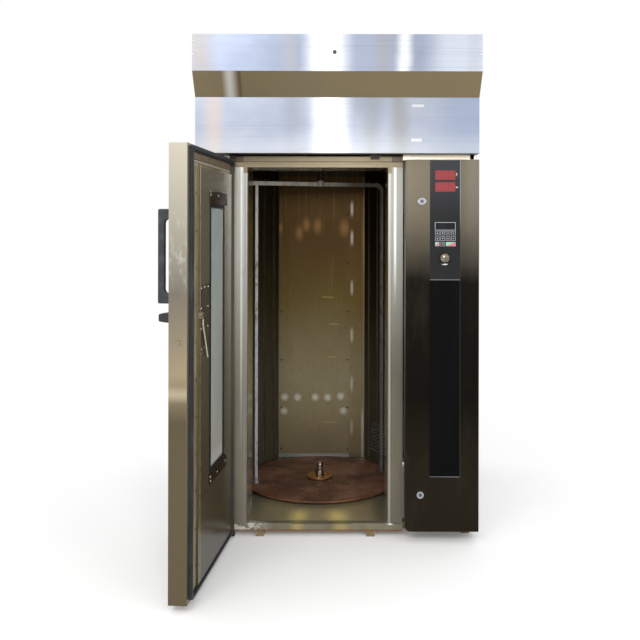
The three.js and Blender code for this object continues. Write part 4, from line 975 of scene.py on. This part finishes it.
class OVEN_OT_door_fittings(bpy.types.Operator):
    """Add clamp plates, latch plate, gasket retainer, rivets and outer trim to the door"""

    bl_idname = "oven.door_fittings"
    bl_label = "Door fittings"

    def execute(self, context):
        sizes = context.scene.oven_sizes
        face = ahead(DOOR_INNER)
        inner = face + PLUG_RISE
        at = lambda t: DOOR_LEFT + t
        plate = brushed("clamp plate", "3a2a17", "251a0f", metal=0.5, rough=0.35)
        bm = bmesh.new()
        block(bm, at(180), at(500), inner + 0.3, inner + 4.6, 1600.5, 1656.0, 1.0)
        block(bm, at(185), at(498), inner + 0.3, inner + 4.6, 408.0, 455.5, 1.0)
        piece("window clamp plates", bm, plate, "door", True)

        lock = brushed("latch plate", "6c6254", "4f463a", metal=0.6, rough=0.3)
        bm = bmesh.new()
        outline = [(at(505), 992), (at(636), 992), (at(636), 1264), (at(505), 1264)]
        slab(bm, outline, inner + 0.3, inner + 2.0)
        piece("latch plate", bm, lock, "door", True)

        rivet = brushed("bright rivet", "f0ead8", "b9ad90", metal=0.7, rough=0.25)
        spots = [
            (485, 1639), (351, 1639), (200, 1639), (492, 1652),
            (484, 424), (490, 444), (365, 430), (215, 437),
        ]
        heads = [((at(t), inner + 5.2, z), (0, 1, 0)) for t, z in spots]
        spots = [
            (630, 1253), (580, 1255), (520, 1253), (630, 1170), (524, 1171), (630, 1087), (524, 1088),
            (630, 1004), (577, 1005),
        ]
        heads += [((at(t), inner + 2.5, z), (0, 1, 0)) for t, z in spots]
        screw_heads("door rivets", heads, rivet, "door", sizes.rivet_radius, 0.6, True)

        f = Finish("retainer strip")
        x, y, z = f.place()
        cloud = f.noise((14, 14, 5), 1.0, 5.0)
        base = f.duo(cloud, 0.3, 0.7, "85795f", "a2977c")
        base = f.over(f.step(z, 1740.0, 1760.0) * 0.7, base, "b9b2a2")
        strip = f.done(base, 0.35 + cloud * 0.2, 0.5)
        bm = bmesh.new()
        block(bm, at(652), at(738), face + 0.2, face + 2.4, 42.0, 1760.0, 0.4)
        block(bm, at(60), at(738), face + 0.2, face + 1.6, 1762.0, 1771.0, 0.4)
        piece("gasket retainer", bm, strip, "door", True)
        f = Finish("brown patch")
        cloud = f.noise((60, 60, 60), 1.0, 5.0)
        patch = f.done(f.mix(cloud, tone("5d4f3a"), tone("7d6d52")), 0.5, 0.3)
        bm = bmesh.new()
        for k in range(5):
            block(bm, at(60 + 136 * k), at(184 + 136 * k), face + 0.2, face + 3.4, 1773.0, 1798.0, 1.0)
        piece("retainer patches", bm, patch, "door", True)
        tired = bpy.data.materials["rusty screw"]
        heads = []
        for k in range(11):
            z = 1636.7 - 149.5 * k
            heads.append(((at(674), face + 2.8, z), (0, 1, 0)))
        screw_heads("retainer screws", heads, tired, "door", sizes.screw_radius, 0.5, True)

        # Painted highlight: a pale skin laid over the lining's raised edge and top lip.
        edge_highlight = brushed("lining edge", "c9bea2", "94876a", metal=0.7, rough=0.25)
        bm = bmesh.new()
        out = at(PLUG_EDGE + 1.3)
        block(bm, at(PLUG_EDGE + 0.3), out, face + 0.6, inner + 0.6, PLUG_FOOT, PLUG_TOP - 1.0)
        block(bm, at(PLUG_EDGE - 3.5), out, inner + 0.2, inner + 1.0, PLUG_FOOT, PLUG_TOP + 1.0)
        block(bm, at(76), at(PLUG_EDGE), face + 3.6, inner + 0.6, PLUG_TOP + 0.3, PLUG_TOP + 1.3)
        piece("lining edge highlight", bm, edge_highlight, "door", True)

        outer = ahead(DOOR_OUTER)
        bm = bmesh.new()
        outline_ring(bm, at(232), at(490), 464.0, 1599.0, 14.0, outer - 0.2, outer - 4.0)
        piece("outer window bead", bm, bpy.data.materials["black bead"], "door", True)
        heads = []
        for k in range(9):
            z = 471.0 + 140.0 * k
            heads.append(((at(239), outer - 4.4, z), (0, -1, 0)))
            heads.append(((at(483), outer - 4.4, z), (0, -1, 0)))
        zinc = bpy.data.materials["zinc screw"]
        screw_heads("outer bead screws", heads, zinc, "door", 3.2, 0.5, True)
        return {"FINISHED"}


# ---------------------------------------------------------------------------------------------------
# controls


SEGMENTS = {
    "a": (0.5, 1.0, True), "b": (1.0, 0.75, False), "c": (1.0, 0.25, False), "d": (0.5, 0.0, True),
    "e": (0.0, 0.25, False), "f": (0.0, 0.75, False), "g": (0.5, 0.5, True),
}


class OVEN_OT_controls(bpy.types.Operator):
    """Finish the control cabinet and add display digits, key outlines, trims and the lock plate"""

    bl_idname = "oven.controls"
    bl_label = "Controls"

    def digits(self, bm, x0, z0, wide, tall, y, count=3):
        """Seven-segment eights, all segments showing, as on an unlit display."""
        step = wide / count
        for k in range(count):
            left = x0 + step * k + step * 0.24
            span = step * 0.5
            for across, up, flat in SEGMENTS.values():
                cx = left + span * across + (tall * 0.03 * (up - 0.5))
                cz = z0 + tall * (0.16 + 0.68 * up)
                if flat:
                    block(bm, cx - span * 0.36, cx + span * 0.36, y, y - 0.3, cz - 1.3, cz + 1.3)
                else:
                    block(bm, cx - 1.3, cx + 1.3, y, y - 0.3, cz - tall * 0.13, cz + tall * 0.13)

    def execute(self, context):
        colours = context.scene.oven_colours
        f = Finish("dark cover steel")
        x, y, z = f.place()
        grain = f.noise((800, 800, 4), 1.0, 4.0)
        cloud = f.noise((7, 7, 4), 1.0, 6.0, 0.65)
        wipe = f.noise((9, 9, 3), 1.0, 5.0, 0.6)
        drift = z + (cloud - 0.5) * 110.0
        # Painted reflections: the cover is lighter towards the top and, above 1200 mm, towards its right edge.
        base = f.ramp(
            f.step(drift, 58.0, 1826.0),
            [
                (0.0, tone("2a251c")),
                (0.3, tone("161410")),
                (0.75, tone("181713")),
                (1.0, tone("6e6658")),
            ],
        )
        base = f.over(f.step(wipe, 0.5, 0.8) * 0.12, base, "5a5145")
        base = f.over(f.step(x, 585.0, 640.0) * f.step(z, 1200.0, 1720.0) * 0.13, base, "a8a59d")
        base = f.over(grain * 0.2, base, "12100d")
        gloss = 0.36 + (cloud - 0.5) * 0.25
        made = f.done(base, gloss, 1.0, f.bump(grain, 0.08, 0.0003))
        dress(made, "control_cover")
        f = Finish("cabinet side")
        x, y, z = f.place()
        grain = f.noise((900, 900, 5), 1.0, 3.0)
        smear = f.noise((14, 14, 5), 1.0, 5.0)
        base = f.mix(f.step(z + (smear - 0.5) * 60.0, 500.0, 1750.0), tone("4e483e"), tone("b0b0ae"))
        base = f.over(grain * 0.15, base, "2a2620")
        dress(f.done(base, 0.38 + (grain - 0.5) * 0.15, 0.6, f.bump(grain, 0.06, 0.0003)), "control_cabinet")

        f = Finish("charcoal film")
        speck = f.noise((300, 300, 300), 1.0, 3.0)
        base = f.duo(speck, 0.4, 0.7, "101112", "151617")
        x, y, z = f.place()
        base = f.over(f.step(z, 1500.0, 1800.0), base, "323337")
        film = f.done(base, 0.42, 0.0, f.bump(speck, 0.06, 0.0002), Specular_IOR_Level=0.2)
        dress(film, "panel_strip_upper")
        f = Finish("black film")
        speck = f.noise((300, 300, 300), 1.0, 3.0)
        blue = f.noise((12, 12, 1.2), 1.0, 4.0)
        base = f.duo(blue, 0.4, 0.75, "050505", "07080b")
        film = f.done(base, 0.34, 0.0, f.bump(speck, 0.05, 0.0002), Specular_IOR_Level=0.05)
        dress(film, "panel_strip_lower")

        f = Finish("display with painted glow")
        speck = f.noise((400, 400, 400), 1.0, 2.0)
        base = f.mix(speck * 0.3, tuple(colours.display), tone("8e1f2a"))
        lit = f.done(base, 0.3, 0.0)
        # Painted glow: the unlit display window is given a faint emission.
        f.shader.inputs["Emission Color"].default_value = tuple(colours.display)
        f.shader.inputs["Emission Strength"].default_value = 0.12
        dress(lit, "display_upper", "display_lower")
        f = Finish("dim digit")
        speck = f.noise((200, 200, 200), 1.0)
        dim = f.done(f.mix(speck, tone("98212b"), tone("a52a34")), 0.4, 0.0)
        front = ahead(FIELD_FRONT)
        bm = bmesh.new()
        self.digits(bm, 465, 1729, 96, 45, front - 0.1)
        self.digits(bm, 465, 1673, 96, 45, front - 0.1)
        piece("display digits", bm, dim, "cover")

        f = Finish("pale print")
        speck = f.noise((300, 300, 300), 1.0)
        pale = f.done(f.mix(speck * 0.4, tone("b4b9bd"), tone("8d9297")), 0.45, 0.0)
        bm = bmesh.new()
        strip = ahead(FILM_FRONT)
        arrow = [(565, 1748), (569, 1748), (569, 1756), (571, 1756), (567, 1764), (563, 1756), (565, 1756)]
        slab(bm, arrow, strip - 0.1, strip - 0.5)
        rod(bm, (567.0, strip - 0.1, 1694.0), (567.0, strip - 0.5, 1694.0), 4.2, 18)
        slab(bm, [(571, 1692), (574, 1692), (574, 1696), (571, 1696)], strip - 0.1, strip - 0.5)
        outline_ring(bm, 464.0, 562.0, 1490.0, 1528.0, 2.0, front - 0.1, front - 0.6)
        piece("printed marks", bm, pale, "cover")

        f = Finish("dark lens")
        smear = f.noise((30, 30, 60), 1.0, 4.0)
        smoky = f.duo(smear, 0.4, 0.7, "121315", "1d1e20")
        lens = f.done(smoky, 0.3, 0.0, Specular_IOR_Level=0.15)
        dress(lens, "text_display")

        f = Finish("key film")
        speck = f.noise((300, 300, 300), 1.0, 3.0)
        film = f.done(f.mix(speck, tone("17181a"), tone("202225")), 0.45, 0.0, Specular_IOR_Level=0.15)
        start = Finish("start print")
        base = start.mix(start.noise((200, 200, 200)), tuple(colours.key_start), tone("8fcdb2"))
        made_start = start.done(base, 0.45)
        stop = Finish("stop print")
        base = stop.mix(stop.noise((200, 200, 200)), tuple(colours.key_stop), tone("dc6f76"))
        made_stop = stop.done(base, 0.45)
        for name in sorted(n for n in NODES if n.startswith("key_r")):
            dress(film, name)
            lo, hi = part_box(name)
            x0, y0, z0 = (v * 1000.0 for v in lo)
            x1, _, z1 = (v * 1000.0 for v in hi)
            body = name + "_cap"
            bm = bmesh.new()
            outline_ring(bm, x0 + 0.2, x1 - 0.2, z0 + 0.2, z1 - 0.2, 1.4, y0 - 0.05, y0 - 0.35)
            mid, up = (x0 + x1) / 2, (z0 + z1) / 2
            row, column = int(name[5]), int(name[7])
            if row < 3 or column == 2:
                look = (row * 4 + column) % 4
                if look == 0:
                    block(bm, mid - 4, mid + 4, y0 - 0.05, y0 - 0.3, up - 0.9, up + 0.9)
                    block(bm, mid - 0.9, mid + 0.9, y0 - 0.05, y0 - 0.3, up - 4, up + 4)
                elif look == 1:
                    slab(bm, [(mid - 4, up - 3), (mid + 4, up - 3), (mid, up + 4)], y0 - 0.05, y0 - 0.3)
                elif look == 2:
                    slab(bm, [(mid - 4, up + 3), (mid, up - 4), (mid + 4, up + 3)], y0 - 0.05, y0 - 0.3)
                else:
                    block(bm, mid - 4, mid + 4, y0 - 0.05, y0 - 0.3, up + 1.4, up + 3.0)
                    block(bm, mid - 4, mid + 4, y0 - 0.05, y0 - 0.3, up - 3.0, up - 1.4)
            piece(name + " outline", bm, pale, body)
            if row == 3 and column != 2:
                bm = bmesh.new()
                slab(bm, [(x0 + 2, z1 - 2), (x0 + 2, z0 + 2), (x1 - 2, z1 - 2)], y0 - 0.05, y0 - 0.3)
                piece(name + " start", bm, made_start, body)
                bm = bmesh.new()
                slab(bm, [(x0 + 3, z0 + 2), (x1 - 2, z0 + 2), (x1 - 2, z1 - 3)], y0 - 0.05, y0 - 0.3)
                piece(name + " stop", bm, made_stop, body)

        trim = Finish("edge trim")
        hue = trim.noise((60, 60, 8), 1.0, 3.0)
        _, _, z = trim.place()
        edge = trim.mix(hue, tone("6f7a88"), tone("9fb3c6"))
        edge = trim.done(trim.mix(trim.step(z, 1620.0, 1450.0), edge, tone("2b2d31")), 0.3, 0.5)
        bm = bmesh.new()
        block(bm, 583.4, 585.2, ahead(90.2), ahead(92.0), 322.0, 1822.0)
        piece("strip edge trim", bm, edge, "cover")
        metal = brushed("seam trim", "6a6b6c", "434446", along="x", metal=0.6)
        bm = bmesh.new()
        x0, x1 = STRIP_SIDES
        block(bm, x0, x1, ahead(91.6), ahead(92.4), 1253.0, 1257.0, 0.3)
        slab(bm, [(x0, 319), (x0, 321.5), (x1, 321.5), (x1, 317)], ahead(90.2), ahead(91.6))
        piece("seam trims", bm, metal, "cover")

        knob = Finish("worn knob with painted glint")
        x, y, z = knob.place()
        wear = knob.noise((90, 90, 90), 1.0, 5.0)
        base = knob.duo(wear, 0.35, 0.7, "5e5648", "8a8070")
        # Painted highlight: a white glint just above and left of the knob's centre.
        far = ((x - 506.0) ** 2.0 + (z - 1366.0) ** 2.0) ** 0.5
        base = knob.over(knob.step(far, 7.0, 2.0), base, "f4efe4")
        dress(knob.done(base, 0.3, 0.5), "mode_switch")
        for name, (lx, lz) in (("cam_lock_upper", UPPER_LOCK), ("cam_lock_lower", LOWER_LOCK)):
            f = Finish(name.replace("_", " "))
            x, y, z = f.place()
            wear = f.noise((120, 120, 120), 1.0, 4.0)
            far = ((x - lx) ** 2.0 + (z - lz) ** 2.0) ** 0.5
            base = f.mix(wear, tone("85888d"), tone("b0b3b7"))
            base = f.over(f.step(far, 8.5, 6.5), base, "4a4c50")
            base = f.over(f.bell(far, 10.5, 2.0) * 0.5, base, "3c3d40")
            dress(f.done(base, 0.28, 0.6), name)
        f = Finish("bright crescent")
        speck = f.noise((200, 200, 200), 1.0)
        shine = f.done(f.mix(speck, tone("c8ccd0"), tone("eef0f2")), 0.25, 0.7)
        # Painted highlight: a bright crescent laid on the lower rim of the dial's bezel.
        bm = bmesh.new()
        cx, cz = DIAL
        arc = []
        for k in range(19):
            a = math.radians(245 + 55 * k / 18)
            arc.append((cx + 33.5 * math.cos(a), cz + 33.5 * math.sin(a)))
        for k in range(18, -1, -1):
            a = math.radians(245 + 55 * k / 18)
            r = 33.5 - 5.0 * math.sin(math.pi * k / 18) - 0.6
            arc.append((cx + r * math.cos(a), cz + r * math.sin(a)))
        slab(bm, arc, ahead(96.6), ahead(97.2))
        piece("bezel highlight crescent", bm, shine, "cover")

        bm = bmesh.new()
        cx, cz = UPPER_LOCK
        outline = []
        for k in range(40):
            a = 2 * math.pi * k / 40
            c, s = math.cos(a), math.sin(a)
            across = 21.0 * math.copysign(abs(c) ** 1.35, c)
            up = 16.0 * math.copysign(abs(s) ** 1.2, s)
            outline.append((cx + across, cz + up))
        slab(bm, outline, ahead(90.1), ahead(90.28))
        piece("lock plate", bm, shine, "cover")
        return {"FINISHED"}


# ---------------------------------------------------------------------------------------------------
# studio


class OVEN_OT_stage(bpy.types.Operator):
    """Lay the pale floor, set the soft lights and place the camera"""

    bl_idname = "oven.stage"
    bl_label = "Studio"

    def lamp(self, name, where, aim, size, power, spread=180.0):
        data = bpy.data.lights.new(name, "AREA")
        data.shape = "RECTANGLE"
        data.size, data.size_y = size
        data.energy = power
        data.spread = math.radians(spread)
        lamp = bpy.data.objects.new(name, data)
        lamp.location = where
        lamp.rotation_mode = "QUATERNION"
        lamp.rotation_quaternion = (Vector(aim) - Vector(where)).to_track_quat("-Z", "Y")
        bpy.context.scene.collection.objects.link(lamp)

    def execute(self, context):
        scene = context.scene
        sizes = scene.oven_sizes
        bm = bmesh.new()
        bmesh.ops.create_grid(bm, x_segments=1, y_segments=1, size=30.0)
        mesh = bpy.data.meshes.new("studio floor")
        bm.to_mesh(mesh)
        bm.free()
        ground = bpy.data.objects.new("studio floor", mesh)
        ground.location.z = -0.0005
        scene.collection.objects.link(ground)
        f = Finish("studio paper")
        paper = f.mix(f.noise((2, 2, 2)), tone("f2f2f2"), tone("f6f6f6"))
        f.feed(f.shader.inputs["Emission Color"], paper)
        mesh.materials.append(f.done(paper, 0.9, 0.0, Emission_Strength=0.12))

        world = bpy.data.worlds.new("studio")
        world.use_nodes = True
        world.node_tree.nodes["Background"].inputs[0].default_value = (1.0, 1.0, 1.0, 1.0)
        world.node_tree.nodes["Background"].inputs[1].default_value = 1.0
        scene.world = world
        scene.view_settings.view_transform = "Standard"
        self.lamp("key", (-1.8, -5.2, 3.6), (0.0, -0.3, 1.2), (2.4, 1.6), 70.0)
        self.lamp("fill", (2.6, -4.8, 2.6), (0.0, -0.3, 1.0), (2.0, 2.0), 30.0)
        self.lamp("chamber", (0.15, -3.9, 2.1), (-0.1, 0.1, 0.3), (0.5, 0.5), 3.0, spread=50.0)

        lens = bpy.data.cameras.new("camera")
        lens.sensor_width = 36.0
        lens.lens = lens.sensor_width * FOCAL_PX / FRAME_PX
        lens.shift_x = SHIFT_PX[0] / FRAME_PX
        lens.shift_y = SHIFT_PX[1] / FRAME_PX
        camera = bpy.data.objects.new("camera", lens)
        camera.location = (-0.005, FRONT * MM - sizes.camera_distance, sizes.camera_height)
        camera.rotation_euler = (math.radians(90.0), math.radians(ROLL), 0.0)
        scene.collection.objects.link(camera)
        scene.camera = camera
        return {"FINISHED"}


class OVEN_PT_sidebar(bpy.types.Panel):
    bl_label = "Rack oven"
    bl_idname = "OVEN_PT_sidebar"
    bl_space_type = "VIEW_3D"
    bl_region_type = "UI"
    bl_category = "Oven"

    def draw(self, context):
        column = self.layout.column()
        for prop in ("door_open", "screw_radius", "rivet_radius", "camera_distance", "camera_height"):
            column.prop(context.scene.oven_sizes, prop)
        for prop in ("display", "key_start", "key_stop"):
            column.prop(context.scene.oven_colours, prop)
        for step in STEPS:
            column.operator(step.bl_idname)


STEPS = (
    OVEN_OT_hood,
    OVEN_OT_cabinet,
    OVEN_OT_chamber,
    OVEN_OT_carrier,
    OVEN_OT_door,
    OVEN_OT_door_fittings,
    OVEN_OT_controls,
    OVEN_OT_stage,
)
CLASSES = (OvenSizes, OvenColours, *STEPS, OVEN_PT_sidebar)


def register():
    for cls in CLASSES:
        bpy.utils.register_class(cls)
    bpy.types.Scene.oven_sizes = bpy.props.PointerProperty(type=OvenSizes)
    bpy.types.Scene.oven_colours = bpy.props.PointerProperty(type=OvenColours)


def unregister():
    del bpy.types.Scene.oven_colours
    del bpy.types.Scene.oven_sizes
    for cls in reversed(CLASSES):
        bpy.utils.unregister_class(cls)


def main():
    register()
    for step in STEPS:
        group, name = step.bl_idname.split(".")
        getattr(getattr(bpy.ops, group), name)()


if __name__ == "__main__":
    main()
